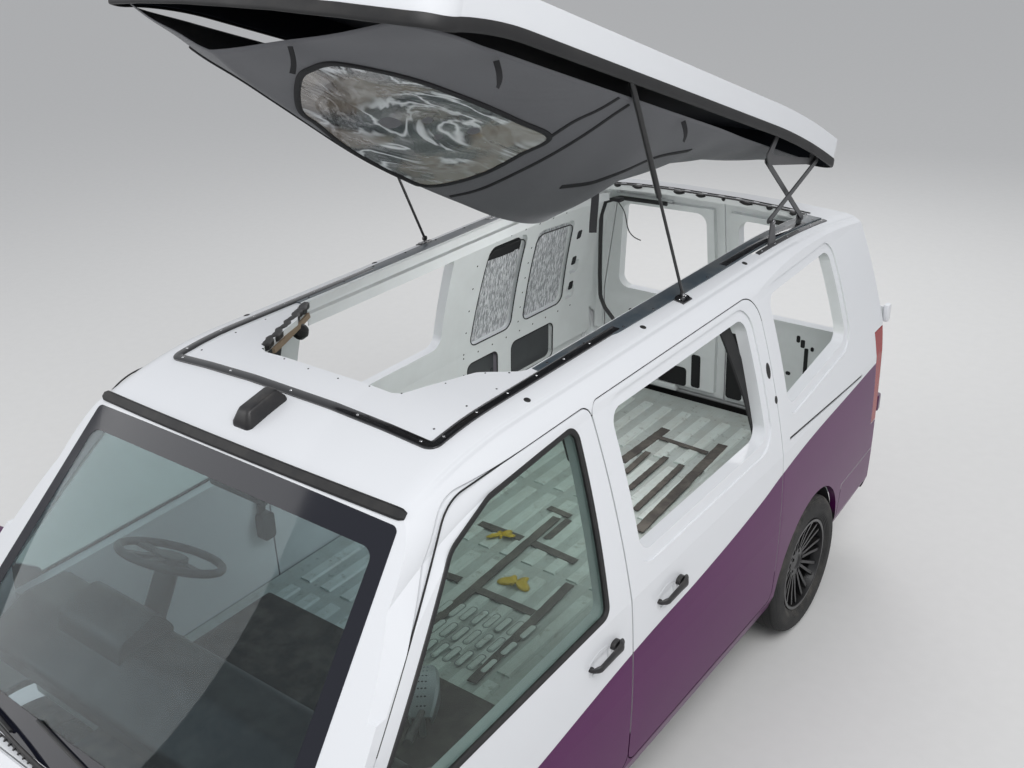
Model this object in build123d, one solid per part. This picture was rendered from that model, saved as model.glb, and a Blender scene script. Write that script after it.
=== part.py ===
from build123d import *
import math
import os

# A short panel van being made into a camper, with a raised pop-top roof.
# Millimetres. The front faces -Y, +X is the vehicle's left, the ground is Z = 0.
# Stations run rearward from the front bumper, heights run up from the ground.

# Overall sizes
LENGTH = 4904
FRONT_AXLE = 908
REAR_AXLE = 3908
HALF_TRACK = 814
WAIST = 1150
HALF_WAIST = 942
HALF_BELLY = 952
TOP_HEIGHT = 2050
TUMBLE = (769 - HALF_WAIST) / (1850 - WAIST)

# Walls, gaps and flanges
WALL = 60
ROOF_SKIN = 30
SKIN = 25
GAP = 5
FLANGE = 40
DOOR_INSET = 48
PRESS_DEPTH = 8
PRESS_REACH = 46

# Roof surface: a shallow crown that rolls down to the windscreen and to the tail
CROWN = 1972
FRONT_ROLL_START = 1900
FRONT_ROLL = 1700
REAR_ROLL_START = 3700
REAR_ROLL = 6140
TAPER_START = 3500
TAPER = 2.2

# Windscreen: part of a large cylinder laid back at this slope
SCREEN_SLOPE = 45
SCREEN_RADIUS = 4500
SCREEN_FOOT = (575, 1120)
GLASS = 6

# Floor and roof split
FLOOR = 568
ROOF_SPLIT = 1867
SILL = 330

# Wheels
TYRE_RADIUS = 345
TYRE_WIDTH = 232
RIM_RADIUS = 229
ARCH_RADIUS = 398
STEERED_REACH = 524
KINGPIN = 752

# Raised roof and its linkage, in the raised pose
TILT = 19.3
LINK_POST = (3846, 2047)
LINK_ROOF = (4333, 2210)
PROP_FOOT = (4270, 1950)
PROP_HEAD = (3837, 2313)
ROOF_REAR_OVERHANG = 212
RIM_DROP = 20
ROOF_LENGTH = 3160
HALF_ROOF = 690
SHELL_HEIGHT = 128
SHELL_WALL = 12
SHELL_TOP = 8
RIM_CLEARANCE = 12
STRUT_HEAD = (2643, 2862)
STRUT_FOOT = (3057, 1968)
STRUT_X = 655
LINK_X = 628
ARM_RADIUS = 12
PIN_RADIUS = 6
PIN_HOLE = 6.4


def row(station):
    """Row Y of a station."""
    return station - LENGTH / 2


def outline(points):
    """Closed line through (across, up, corner radius) points."""
    corners = [(p[0], p[1]) for p in points]
    return FilletPolyline(*corners, radius=[p[2] for p in points], close=True)


def side_face(points):
    """Face in side view from (station, height, radius) points."""
    return make_face(outline([(row(s), z, r) for s, z, r in points]))


def side_prism(face, x_low, x_high):
    return extrude(Plane.YZ.offset(x_low) * face, x_high - x_low)


def plan_prism(points, z_low, z_high):
    """Upright prism from (x, station, radius) points."""
    face = make_face(outline([(x, row(s), r) for x, s, r in points]))
    return extrude(Plane.XY.offset(z_low) * face, z_high - z_low)


def front_prism(face, s_low, s_high):
    """Prism along the vehicle from a face drawn in front view."""
    plane = Plane(origin=(0, row(s_high), 0), x_dir=(1, 0, 0), z_dir=(0, -1, 0))
    return extrude(plane * face, s_high - s_low)


def block(x_low, x_high, s_low, s_high, z_low, z_high):
    """Box between two corners."""
    size = (x_high - x_low, s_high - s_low, z_high - z_low)
    middle = ((x_low + x_high) / 2, row((s_low + s_high) / 2), (z_low + z_high) / 2)
    return Pos(*middle) * Box(*size)


def rod_x(radius, x_low, x_high, station, height):
    """Cylinder along X."""
    place = Pos((x_low + x_high) / 2, row(station), height) * Rot(0, 90, 0)
    return place * Cylinder(radius, x_high - x_low)


def rod_between(radius, start, end):
    """Cylinder between two (x, station, height) points."""
    a = Vector(start[0], row(start[1]), start[2])
    b = Vector(end[0], row(end[1]), end[2])
    plane = Plane(origin=a, z_dir=b - a)
    return extrude(plane * make_face(CenterArc((0, 0), radius, 0, 360)), (b - a).length)


def both(shape):
    """A piece and its mirror image on the other side."""
    return [shape, mirror(shape, about=Plane.YZ)]


def mirrored_face(edges):
    """Face bounded by edges on the left half and their mirror images."""
    return make_face(edges + [mirror(e, about=Plane.YZ) for e in edges])


def side_at(height):
    """Half-width of the outer side above the waist."""
    return HALF_WAIST + TUMBLE * (height - WAIST)


# Envelope of the body

CORNER_START = (640, 1947)
CORNER_MIDDLE = (730.7, 1908.2)
CORNER_END = (776, 1822)


def side_edges():
    """Left half of the cross-section: belly, waist and leaning side, up to the top."""
    top = (side_at(TOP_HEIGHT), TOP_HEIGHT)
    return [
        Line((0, 150), (850, 150)),
        Line((850, 150), (934, 400)),
        ThreePointArc((934, 400), (HALF_BELLY, 780), (HALF_WAIST, WAIST)),
        ThreePointArc((HALF_WAIST, WAIST), (870, 1502), CORNER_END),
        Line(CORNER_END, top),
        Line(top, (0, TOP_HEIGHT)),
    ]


def section_face(inset):
    """Cross-section of both sides, without the roof."""
    face = mirrored_face(side_edges())
    return offset(face, amount=-inset) if inset else face


def one_side_face(inset):
    """The left side's section, with its other side far out of the way."""
    far = Polyline((0, 150), (-2000, 150), (-2000, TOP_HEIGHT), (0, TOP_HEIGHT))
    face = make_face(side_edges() + [far])
    return offset(face, amount=-inset) if inset else face


def crown_face(inset):
    """Roof section: crown, rounded cant rails and a flare outside the sides."""
    edges = [
        FilletPolyline((0, CROWN), (190, CROWN), (420, CROWN - 9.5), CORNER_START, radius=600),
        ThreePointArc(CORNER_START, CORNER_MIDDLE, CORNER_END),
        Line(CORNER_END, (1006, 1592)),
        Line((1006, 1592), (1006, 1400)),
        Line((1006, 1400), (0, 1400)),
    ]
    face = mirrored_face(edges)
    return offset(face, amount=-inset) if inset else face


def roof_form(inset):
    """Solid under the roof surface, rolled down at both ends."""
    face = crown_face(inset)
    middle = front_prism(face, FRONT_ROLL_START, REAR_ROLL_START)
    start = Plane(origin=(0, row(FRONT_ROLL_START), 0), x_dir=(1, 0, 0), z_dir=(0, -1, 0))
    end = Plane(origin=(0, row(REAR_ROLL_START), 0), x_dir=(1, 0, 0), z_dir=(0, -1, 0))
    front_axis = Axis((0, row(FRONT_ROLL_START), CROWN - FRONT_ROLL), (1, 0, 0))
    rear_axis = Axis((0, row(REAR_ROLL_START), CROWN - REAR_ROLL), (-1, 0, 0))
    front = revolve(start * face, front_axis, 38)
    rear = revolve(end * face, rear_axis, 14)
    return middle + front + rear


def side_profile(inset):
    """Side view of the body, with the bumpers and without the windscreen."""
    points = [
        (80, 215, 40), (0, 380, 60), (0, 560, 60), (38, 655, 30), (105, 868, 40),
        (200, 925, 80), (555, 1108, 0), (555, TOP_HEIGHT, 0), (4330, TOP_HEIGHT, 0),
        (4745, 1866, 60), (4852, 1150, 300), (4866, 612, 10), (4904, 585, 20),
        (4904, 420, 40), (4860, 320, 60), (4300, SILL, 0), (1310, SILL, 0), (700, 215, 0),
    ]
    face = side_face(points)
    return offset(face, amount=-inset) if inset else face


def plan_face(inset):
    """Plan of the body with its rounded nose and tail corners."""
    edges = [
        ThreePointArc((0, row(0)), (380, row(24)), (690, row(112))),
        ThreePointArc((690, row(112)), (884, row(330)), (HALF_BELLY, row(880))),
        Line((HALF_BELLY, row(880)), (HALF_BELLY, row(4500))),
        Line((HALF_BELLY, row(4500)), (912, row(4660))),
        ThreePointArc((912, row(4660)), (887, row(4800)), (795, row(4876))),
        ThreePointArc((795, row(4876)), (420, row(4898)), (0, row(LENGTH))),
    ]
    face = mirrored_face(edges)
    return offset(face, amount=-inset) if inset else face


def tapered_sides(inset):
    """Sides run straight to the sliding door's rear edge, then draw in."""
    straight = front_prism(section_face(inset), -300, LENGTH + 300)
    hinge = Axis((HALF_WAIST - inset, row(TAPER_START), 0), (0, 0, 1))
    left = front_prism(one_side_face(inset), -600, LENGTH + 600).rotate(hinge, TAPER)
    return straight & left & mirror(left, about=Plane.YZ)


def screen_cylinder(inset, length=4000):
    """Cylinder whose surface carries the windscreen."""
    slope = math.radians(SCREEN_SLOPE)
    radius = SCREEN_RADIUS - inset
    along = (0, math.cos(slope), math.sin(slope))
    foot = Vector(0, row(SCREEN_FOOT[0]), SCREEN_FOOT[1])
    inward = Vector(0, math.sin(slope), -math.cos(slope))
    centre = foot + inward * SCREEN_RADIUS + Vector(*along) * 500
    return Plane(origin=centre, x_dir=(1, 0, 0), z_dir=along) * Cylinder(radius, length)


def envelope(sides, roof, ends, screen):
    """Body volume, each surface moved inward by its own inset."""
    form = tapered_sides(sides) & side_prism(side_profile(ends), -1100, 1100)
    form = form & extrude(plan_face(ends), 2200, dir=(0, 0, 1))
    above = block(-1200, 1200, -400, LENGTH + 400, 1450, 2300) - roof_form(roof)
    ahead = block(-1200, 1200, -400, 1900, SCREEN_FOOT[1] - screen, 2300)
    return form - above - (ahead - screen_cylinder(screen))


OUTER = envelope(0, 0, 0, 0)
UNDER_SKIN = envelope(SKIN, SKIN, SKIN, SKIN)
UNDER_GAP = envelope(SKIN + GAP, SKIN + GAP, SKIN + GAP, SKIN + GAP)
CABIN = envelope(WALL, ROOF_SKIN, WALL, 40)
below_floor = section_face(WALL)
CABIN = CABIN + (front_prism(below_floor, 1000, 4790) & block(-900, 900, 1000, 4790, 50, 900))
UNDER_PRESS = envelope(PRESS_DEPTH, PRESS_DEPTH, PRESS_DEPTH, PRESS_DEPTH)
OUTER_LAYER = OUTER - UNDER_SKIN
PRESS_LAYER = OUTER - UNDER_PRESS
WALLS = OUTER - CABIN
INNER_LAYER = UNDER_GAP - CABIN

# Outlines in side view: (station, height, corner radius)

FRONT_DOOR = [
    (955, 1150, 30), (955, 1322, 60), (1500, 1858, 170), (2228, 1862, 45),
    (2228, 412, 50), (1352, 412, 50), (1345, 500, 60), (1204, 705, 150), (985, 838, 90),
]
FRONT_WINDOW = [
    (1000, 1148, 25), (1000, 1288, 40), (1455, 1734, 120), (1660, 1800, 120),
    (2135, 1828, 40), (2088, 1178, 40),
]
SLIDING_DOOR = [(2236, 412, 50), (2236, 1862, 45), (3475, 1862, 120), (3475, 412, 50)]
MIDDLE_WINDOW = [(2342, 1271, 65), (2342, 1794, 60), (3352, 1794, 60), (3352, 1271, 65)]
REAR_WINDOW = [(3600, 1322, 60), (3600, 1806, 60), (4296, 1806, 60), (4330, 1372, 75)]
SLIDE_GROOVE = [(3560, 1186, 4), (3560, 1200, 4), (4490, 1133, 4), (4490, 1119, 4)]
# Outlines in front view: (x, height, corner radius)
REAR_DOOR = [(3, 594, 0), (832, 594, 50), (838, 1150, 90), (680, 1808, 60), (3, 1822, 0)]
REAR_DOOR_WINDOW = [(95, 1190, 60), (690, 1190, 60), (612, 1728, 60), (95, 1740, 60)]


def layered_panel(outer_prism, inner_prism):
    """Panel with a full-size skin and a smaller inner part."""
    return (OUTER_LAYER & outer_prism) + (WALLS & inner_prism)


def frame_cut(skin_hole, flange_hole):
    """What a panel's opening takes from the body: the skin and, further in, less."""
    return (skin_hole & OUTER) - ((UNDER_GAP & skin_hole) - flange_hole)


def side_panel_prisms(points, side):
    """Prisms of a side panel: skin, inner part, skin hole and flange hole."""
    face = side_face(points)
    low, high = (500, 1100) if side > 0 else (-1100, -500)
    faces = [face, offset(face, amount=-DOOR_INSET), offset(face, amount=GAP), offset(face, amount=-FLANGE)]
    return [side_prism(f, low, high) for f in faces]


def window_prism(points, side):
    low, high = (500, 1100) if side > 0 else (-1100, -500)
    return side_prism(side_face(points), low, high)


def pressed_round(points, side):
    """Shallow recess pressed into the skin around a window."""
    low, high = (500, 1100) if side > 0 else (-1100, -500)
    return PRESS_LAYER & side_prism(offset(side_face(points), amount=PRESS_REACH), low, high)


def rear_prisms(side):
    """Prisms of a rear door, seen from behind."""
    face = make_face(outline([(side * x, z, r) for x, z, r in REAR_DOOR]))
    faces = [face, offset(face, amount=-DOOR_INSET), offset(face, amount=GAP), offset(face, amount=-FLANGE)]
    return [front_prism(f, 4550, 4950) for f in faces]


def arch(side, axle, radius, inner=560):
    """Round space about a wheel."""
    low, high = (inner, 1100) if side > 0 else (-1100, -inner)
    return rod_x(radius, low, high, axle, TYRE_RADIUS)


DOOR_TOOLS = {side: side_panel_prisms(FRONT_DOOR, side) for side in (1, -1)}
SLIDE_TOOLS = side_panel_prisms(SLIDING_DOOR, 1)
REAR_TOOLS = {side: rear_prisms(side) for side in (1, -1)}

# Body shell


def roof_region():
    """Above the doors, and the header over the rear doors."""
    top = block(-1000, 1000, 0, LENGTH, ROOF_SPLIT, 2200)
    return top + block(-652, 652, 4560, LENGTH, 1780, ROOF_SPLIT + 20)


APERTURE = [
    (-300, 1783, 0), (300, 1783, 0), (330, 1797, 0), (345, 1830, 0), (430, 2062, 60), (548, 2170, 60),
    (565, 4450, 70), (-565, 4450, 70), (-548, 2170, 60), (-430, 2062, 60), (-345, 1830, 0), (-330, 1797, 0),
]
LINK_SLOT = (3676, 4452)


def roof_panel():
    panel = WALLS & roof_region()
    panel -= plan_prism(APERTURE, 1700, 2100)
    for side in (1, -1):
        middle = side * (LINK_X + 2)
        slot = block(middle - 24, middle + 24, *LINK_SLOT, 1780, 2000)
        panel -= slot
        panel -= REAR_TOOLS[side][2] & block(-900, 900, 4550, 4950, 400, 1840)
    return largest(panel)


def roof_trim():
    """Black strips that frame the roof opening."""
    width, rise = 24, 5
    upper = roof_form(-rise) - roof_form(0)
    strips = plan_prism([(-608, 1616, 40), (608, 1616, 40), (608, 3560, 0), (-608, 3560, 0)], 1800, 2000)
    inner = 608 - width
    strips -= plan_prism([(-inner, 1640, 25), (inner, 1640, 25), (inner, 3600, 0), (-inner, 3600, 0)], 1700, 2100)
    return [s for s in (upper & strips).solids()]


def side_panel(side):
    """Fixed side of the body, from the sill to the cant rail."""
    low, high = (300, 1100) if side > 0 else (-1100, -300)
    region = block(low, high, 1296, LENGTH, 200, ROOF_SPLIT) - roof_region()
    region -= side_prism(side_face([
        (1290, 430, 0), (1290, 1900, 0), (1700, 1900, 0), (1700, 430, 0)]), low, high)
    panel = WALLS & region
    panel -= frame_cut(DOOR_TOOLS[side][2], DOOR_TOOLS[side][3])
    if side > 0:
        panel -= frame_cut(SLIDE_TOOLS[2], SLIDE_TOOLS[3])
        panel -= window_prism(REAR_WINDOW, side)
        panel -= pressed_round(REAR_WINDOW, side)
        panel -= OUTER_LAYER & side_prism(side_face(SLIDE_GROOVE), 800, 1100)
    else:
        panel -= window_prism(MIDDLE_WINDOW, side)
        panel -= pressed_round(MIDDLE_WINDOW, side)
        for pocket in BLIND_PANELS:
            panel -= window_prism(pocket, side) & UNDER_GAP
    for pocket in ACCESS_HOLES:
        panel -= window_prism(pocket, side) & UNDER_GAP
    panel -= frame_cut(REAR_TOOLS[side][2], REAR_TOOLS[side][3])
    panel -= arch(side, REAR_AXLE, ARCH_RADIUS)
    panel -= block(-1100, 1100, 4317, LENGTH + 10, 100, 592)
    panel -= lamp_prism(side, GAP)
    return largest(panel)


BLIND_PANELS = [
    [(3600, 1180, 50), (3640, 1740, 50), (3950, 1740, 50), (3950, 1180, 50)],
    [(4040, 1180, 50), (4040, 1720, 50), (4380, 1700, 50), (4420, 1180, 50)],
]
ACCESS_HOLES = [
    [(3590, 860, 40), (3590, 1080, 40), (3840, 1080, 40), (3840, 860, 40)],
    [(3960, 860, 40), (3960, 1080, 40), (4340, 1080, 40), (4340, 860, 40)],
    [(4440, 1180, 20), (4440, 1260, 20), (4520, 1260, 20), (4520, 1180, 20)],
    [(4440, 1340, 20), (4440, 1420, 20), (4520, 1420, 20), (4520, 1340, 20)],
]


def largest(shape):
    """Main solid, without slivers."""
    return max(shape.solids(), key=lambda s: s.volume)


def lamp_prism(side, grow):
    """Tall tail lamp at the rear corner."""
    face = make_face(outline([
        (side * (846 - grow), 770 - grow, 8), (side * (960 + grow), 770 - grow, 8),
        (side * (960 + grow), 1270 + grow, 8), (side * (846 - grow), 1270 + grow, 8)]))
    return front_prism(face, 4700, 4950)


def handle_cup(station, side):
    """Recess behind a door handle, through the outer skin."""
    cup = block(850, 1100, station, station + 104, 1005, 1058)
    if side < 0:
        cup = mirror(cup, about=Plane.YZ)
    return cup & OUTER_LAYER


def sliding_door():
    door = layered_panel(SLIDE_TOOLS[0], SLIDE_TOOLS[1])
    door -= pressed_round(MIDDLE_WINDOW, 1)
    door -= handle_cup(2422, 1)
    return largest(door - window_prism(MIDDLE_WINDOW, 1))


def front_door(side):
    tools = DOOR_TOOLS[side]
    door = layered_panel(tools[0], tools[1]) - window_prism(FRONT_WINDOW, side)
    return largest(door - handle_cup(1968, side))


def door_glass(side):
    """Side window, set back from the door's skin."""
    face = offset(side_face(FRONT_WINDOW), amount=-0.4)
    low, high = (500, 1100) if side > 0 else (-1100, -500)
    prism = side_prism(face, low, high)
    pane = (envelope_slice(11) - envelope_slice(16)) & prism
    return largest(pane)


def envelope_slice(inset):
    """Side surface only, for the panes in the doors."""
    return front_prism(section_face(inset), 800, 2400) & block(-1100, 1100, 800, 2400, 1100, 1900)


def door_mirror(side):
    """Mirror housing on a short arm from the window's front corner."""
    housing = plan_prism([(1006, 975, 45), (1148, 998, 40), (1148, 1068, 15), (1006, 1085, 15)], 1130, 1350)
    housing = fillet(housing.faces().sort_by(Axis.Z)[-1].edges(), 12)
    arm = side_prism(side_face([(1015, 1150, 10), (1015, 1200, 10), (1075, 1200, 10), (1075, 1150, 10)]), 915, 1020)
    foot = side_prism(side_face([(1006, 1152, 10), (1006, 1280, 15), (1130, 1180, 20), (1130, 1152, 8)]), 895, 945)
    foot = foot & envelope_slice(-14) - envelope_slice(8)
    piece = largest(housing + arm + foot - envelope_slice(8))
    return piece if side > 0 else mirror(piece, about=Plane.YZ)


def rear_door(side):
    tools = REAR_TOOLS[side]
    door = layered_panel(tools[0], tools[1])
    window = make_face(outline([(side * x, z, r) for x, z, r in REAR_DOOR_WINDOW]))
    door = largest(door - front_prism(window, 4500, 4950))
    return door


HINGE_HEIGHTS = (820, 1330)
REAR_HINGE = (862, 4866)


def rear_hinge_leaves(side):
    """Hinge straps on the rear door, reaching out to the pin."""
    x_pin, s_pin = REAR_HINGE
    parts = []
    for z in HINGE_HEIGHTS:
        knuckle = Pos(side * x_pin, row(s_pin), z) * Cylinder(13, 60)
        strap = block(760, x_pin, s_pin - 12, s_pin - 2, z - 30, z + 30)
        if side < 0:
            strap = mirror(strap, about=Plane.YZ)
        parts.append(knuckle + strap)
    return parts


def screen_outline(grow):
    """Windscreen outline in its own sloping plane: (x, distance up the slope, radius)."""
    return [
        (-(812 + grow), 20 - grow, 60), (812 + grow, 20 - grow, 60),
        (700 + grow, 985 + grow, 30), (-(700 + grow), 985 + grow, 30),
    ]


def screen_prism(grow):
    """Prism square to the windscreen."""
    slope = math.radians(SCREEN_SLOPE)
    outward = (0, -math.sin(slope), math.cos(slope))
    plane = Plane(origin=(0, row(SCREEN_FOOT[0]), SCREEN_FOOT[1]), x_dir=(1, 0, 0), z_dir=outward)
    points = screen_outline(grow)
    face = make_face(outline(points))
    return extrude(plane * face, 300, both=True)


def windscreen():
    pane = (screen_cylinder(0) - screen_cylinder(GLASS)) & screen_prism(0)
    return largest(pane & block(-1000, 1000, 500, 1700, 1100, 2000))


def cab_frame():
    """Windscreen pillars, header and the scuttle under the glass."""
    region = block(-1100, 1100, 560, 1700, 1090, ROOF_SPLIT) - roof_region()
    frame = WALLS & region
    for side in (1, -1):
        frame -= frame_cut(DOOR_TOOLS[side][2], DOOR_TOOLS[side][3])
    frame -= screen_prism(1)
    frame -= bonnet_prism(GAP)
    return largest(frame)


# Front end

BONNET_REAR = 556


def bonnet_prism(grow):
    points = [
        (-(742 + grow), BONNET_REAR + grow, 30), (742 + grow, BONNET_REAR + grow, 30),
        (668 + grow, 40, 60), (-(668 + grow), 40, 60)]
    return plan_prism(points, 845 - grow, 1300)


def nose_face(points):
    return make_face(outline(points))


HEADLAMP = [(478, 668, 30), (470, 838, 30), (700, 876, 40), (872, 905, 60), (868, 720, 60), (760, 672, 60)]
GRILLE = [(-462, 664, 30), (462, 664, 30), (455, 838, 20), (-455, 838, 20)]
BUMPER_TOP = 652


def headlamp_prism(side, grow):
    face = nose_face([(side * x, z, r) for x, z, r in HEADLAMP])
    face = offset(face, amount=grow) if grow else face
    return front_prism(face, -50, 470)


def grille_prism(grow):
    face = nose_face(GRILLE)
    face = offset(face, amount=grow) if grow else face
    return front_prism(face, -50, 400)


def front_wing(side):
    """Wing from the headlamp to the door, with the wheel arch."""
    low, high = (300, 1100) if side > 0 else (-1100, -300)
    region = block(low, high, -10, 1352, 300, 1118)
    region -= block(low, high, -10, 660, 100, BUMPER_TOP + GAP)
    wing = OUTER_LAYER & region
    wing -= DOOR_TOOLS[side][2]
    wing -= block(low, high, 1296, 1400, 100, 435)
    wing -= bonnet_prism(GAP)
    wing -= headlamp_prism(side, 3)
    wing -= grille_prism(3)
    wing -= arch(side, FRONT_AXLE, ARCH_RADIUS)
    wing -= block(-760, 760, 560, 1000, 1089, 1200)
    wing -= cab_overlap()
    return largest(wing)


def cab_overlap():
    return block(-1100, 1100, 560, 1352, 1089, 1300)


def bonnet():
    panel = OUTER_LAYER & bonnet_prism(0)
    return largest(panel - grille_prism(3) - headlamp_prism(1, 3) - headlamp_prism(-1, 3))


def front_bumper():
    region = block(-1100, 1100, -10, 655, 200, BUMPER_TOP)
    bumper = OUTER_LAYER & region
    for side in (1, -1):
        bumper -= arch(side, FRONT_AXLE, ARCH_RADIUS)
    bumper -= block(-1100, 1100, 30, 655, 200, 245)
    bumper -= front_prism(nose_face([(-420, 300, 30), (420, 300, 30), (440, 470, 30), (-440, 470, 30)]), -50, 300)
    return largest(bumper)


def grille():
    """Slatted panel between the headlamps, with the lower intake behind the bumper."""
    plate = (UNDER_SKIN - envelope_nose(SKIN + 12)) & grille_prism(-0.5)
    bars = []
    for k in range(4):
        z = 690 + 40 * k
        bars.append((OUTER_LAYER & block(-455, 455, -10, 400, z, z + 12)) & grille_prism(-0.5))
    panel = plate
    for bar in bars:
        panel = panel + bar
    return largest(panel)


def envelope_nose(inset):
    """Nose volume only."""
    form = side_prism(side_profile(inset), -1100, 1100) & extrude(plan_face(inset), 1300, dir=(0, 0, 1))
    return form & block(-1100, 1100, -100, 900, 100, 1250)


def headlamp(side):
    lamp = (OUTER - envelope_nose(70)) & headlamp_prism(side, 0)
    return largest(lamp)


def rear_bumper():
    region = block(-1100, 1100, 4322, LENGTH + 10, 280, 588)
    bumper = (OUTER_LAYER & region) - arch(1, REAR_AXLE, ARCH_RADIUS) - arch(-1, REAR_AXLE, ARCH_RADIUS)
    bumper -= block(-880, 880, 4300, 4800, 200, 380)
    step = block(-780, 780, 4800, 4880, 430, 462)
    return largest(bumper + (step & UNDER_SKIN))


def tail_lamp(side):
    return largest((OUTER - envelope_tail(35)) & lamp_prism(side, 0))


def envelope_tail(inset):
    form = tapered_sides(inset) & extrude(plan_face(inset), 1400, dir=(0, 0, 1))
    return form & side_prism(side_profile(inset), -1100, 1100)


# Floor and underbody

RIB_PITCH = 124
RIB_HEIGHT = 9
FLOOR_SHEET = 6


def floor_strip(s_low, s_high, half, ribbed):
    """Length of floor whose section carries long pressed ribs."""
    top = FLOOR
    line = [(-half, top)]
    if ribbed:
        count = int((half - 60) * 2 / RIB_PITCH)
        start = -RIB_PITCH * (count - 1) / 2
        for k in range(count):
            x = start + RIB_PITCH * k
            line += [(x - 34, top), (x - 26, top + RIB_HEIGHT), (x + 26, top + RIB_HEIGHT), (x + 34, top)]
    line += [(half, top), (half, top - FLOOR_SHEET), (-half, top - FLOOR_SHEET)]
    face = make_face(Polyline(*line, close=True))
    return front_prism(face, s_low, s_high)


SEAT_BOLTS = (360, 1840, 380, 320)


def floor_pan():
    """Ribbed load floor, cab floor, toe board, wheel boxes, sills and rails."""
    half = 872
    bays = [(1500, 2150), (2210, 2820), (2880, 3440), (3500, 4020), (4080, 4620)]
    floor = floor_strip(1440, 4786, half, False)
    for s_low, s_high in bays:
        floor += floor_strip(s_low, s_high, 640 if s_low > 3400 else half, True)
    toe = side_prism(side_face([
        (1440, FLOOR, 0), (1440, FLOOR - FLOOR_SHEET, 0), (1130, 452, 0), (985, 640, 0),
        (985, 890, 0), (991, 890, 0), (991, 643, 0), (1133, 460, 0)]), -half, half)
    floor += toe
    for side in (1, -1):
        box = rod_x(ARCH_RADIUS + 12, 622, half, REAR_AXLE, TYRE_RADIUS) if side > 0 else \
            rod_x(ARCH_RADIUS + 12, -half, -622, REAR_AXLE, TYRE_RADIUS)
        hollow = rod_x(ARCH_RADIUS + 4, 630, half + 50, REAR_AXLE, TYRE_RADIUS) if side > 0 else \
            rod_x(ARCH_RADIUS + 4, -half - 50, -630, REAR_AXLE, TYRE_RADIUS)
        floor += box & block(-1000, 1000, 3000, 4786, FLOOR - FLOOR_SHEET, 1200)
        floor -= hollow
    for side in (1, -1):
        low, high = (440, 520) if side > 0 else (-520, -440)
        rail = side_prism(side_face([
            (1200, 380, 0), (1440, FLOOR - FLOOR_SHEET, 0), (4780, FLOOR - FLOOR_SHEET, 0), (4780, 470, 30),
            (4300, 440, 60), (3560, 470, 60), (3420, 440, 60), (1480, 440, 60), (1240, 340, 30),
            (260, 340, 20), (260, 420, 20), (1160, 420, 40)]), low, high)
        floor += rail
    for station in (1620, 2180, 2850, 3470, 4560):
        floor += block(-half, half, station - 30, station + 30, 500, FLOOR - FLOOR_SHEET)
    x, s, dx, ds = SEAT_BOLTS
    for side in (1, -1):
        for i in (-1, 1):
            for k in (-1, 1):
                hole = Pos(side * x + i * dx / 2, row(s + k * ds / 2), FLOOR) * Cylinder(5.5, 80)
                floor -= hole
        floor -= arch(side, FRONT_AXLE, ARCH_RADIUS, STEERED_REACH)
    floor = floor & extrude(plan_face(WALL + 2), 2200, dir=(0, 0, 1))
    return largest(floor)


def front_subframe():
    """Cradle under the engine with the lower arms."""
    cradle = block(-430, 430, 700, 1160, 232, 292) - block(-300, 300, 800, 1060, 200, 320)
    for side in (1, -1):
        arm = plan_prism([
            (side * 400, 780, 10), (side * 400, 1080, 10), (side * (KINGPIN - 10), 940, 20),
            (side * (KINGPIN - 10), 876, 20)], 238, 268)
        post = block(400, 520, 1110, 1160, 262, 340)
        if side < 0:
            post = mirror(post, about=Plane.YZ)
        cradle += arm
        cradle += post
    return cradle


def engine_block():
    return block(-330, 330, 520, 960, 330, 900)


def rear_axle():
    """Trailing arms and cross tube that carry the rear stubs."""
    parts = rod_x(38, -560, 560, REAR_AXLE - 330, 400)
    for side in (1, -1):
        arm = rod_between(34, (side * 520, REAR_AXLE - 330, 400), (side * 640, REAR_AXLE - 20, TYRE_RADIUS))
        carrier = block(610, 690, REAR_AXLE - 60, REAR_AXLE + 60, 285, 405)
        stub = rod_x(28, 690, 762, REAR_AXLE, TYRE_RADIUS)
        damper = rod_between(24, (600, REAR_AXLE + 90, 330), (590, REAR_AXLE + 150, 550))
        lug = block(580, 640, REAR_AXLE + 40, REAR_AXLE + 120, 300, 350)
        if side < 0:
            carrier, stub, damper, lug = [mirror(p, about=Plane.YZ) for p in (carrier, stub, damper, lug)]
        parts = parts + arm + carrier + stub + damper + lug
    brace = block(-500, 500, REAR_AXLE - 380, REAR_AXLE - 340, 380, 439)
    return parts + brace


def fuel_tank():
    tank = block(-400, 250, 2300, 2790, 290, 480)
    return fillet(tank.edges().filter_by(Axis.Z), 40)


def exhaust():
    path = FilletPolyline(
        (330, row(1220), 330), (330, row(2000), 330), (340, row(3200), 330), (600, row(4330), 330),
        (600, row(4700), 330), radius=120)
    pipe = sweep(Plane(origin=path @ 0, z_dir=path % 0) * make_face(CenterArc((0, 0), 28, 0, 360)), path=path)
    silencer = rod_between(75, (335, 2300, 330), (338, 2900, 330))
    return pipe + silencer


# Wheels and steering

TYRE_PROFILE = [
    (-98, 230, 8), (-118, 262, 30), (-116, 318, 40), (-92, TYRE_RADIUS, 30),
    (92, TYRE_RADIUS, 30), (116, 318, 40), (118, 262, 30), (98, 230, 8),
]


def turned(points, x_offset, axle, height=TYRE_RADIUS):
    """Solid of revolution about an axle from (across, radius, corner radius) points."""
    face = make_face(outline([(x, r, c) for x, r, c in points]))
    solid = revolve(face, Axis.X, 360)
    return Pos(x_offset, row(axle), height) * solid


def tyre(x, axle):
    return turned(TYRE_PROFILE, x, axle)


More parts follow.
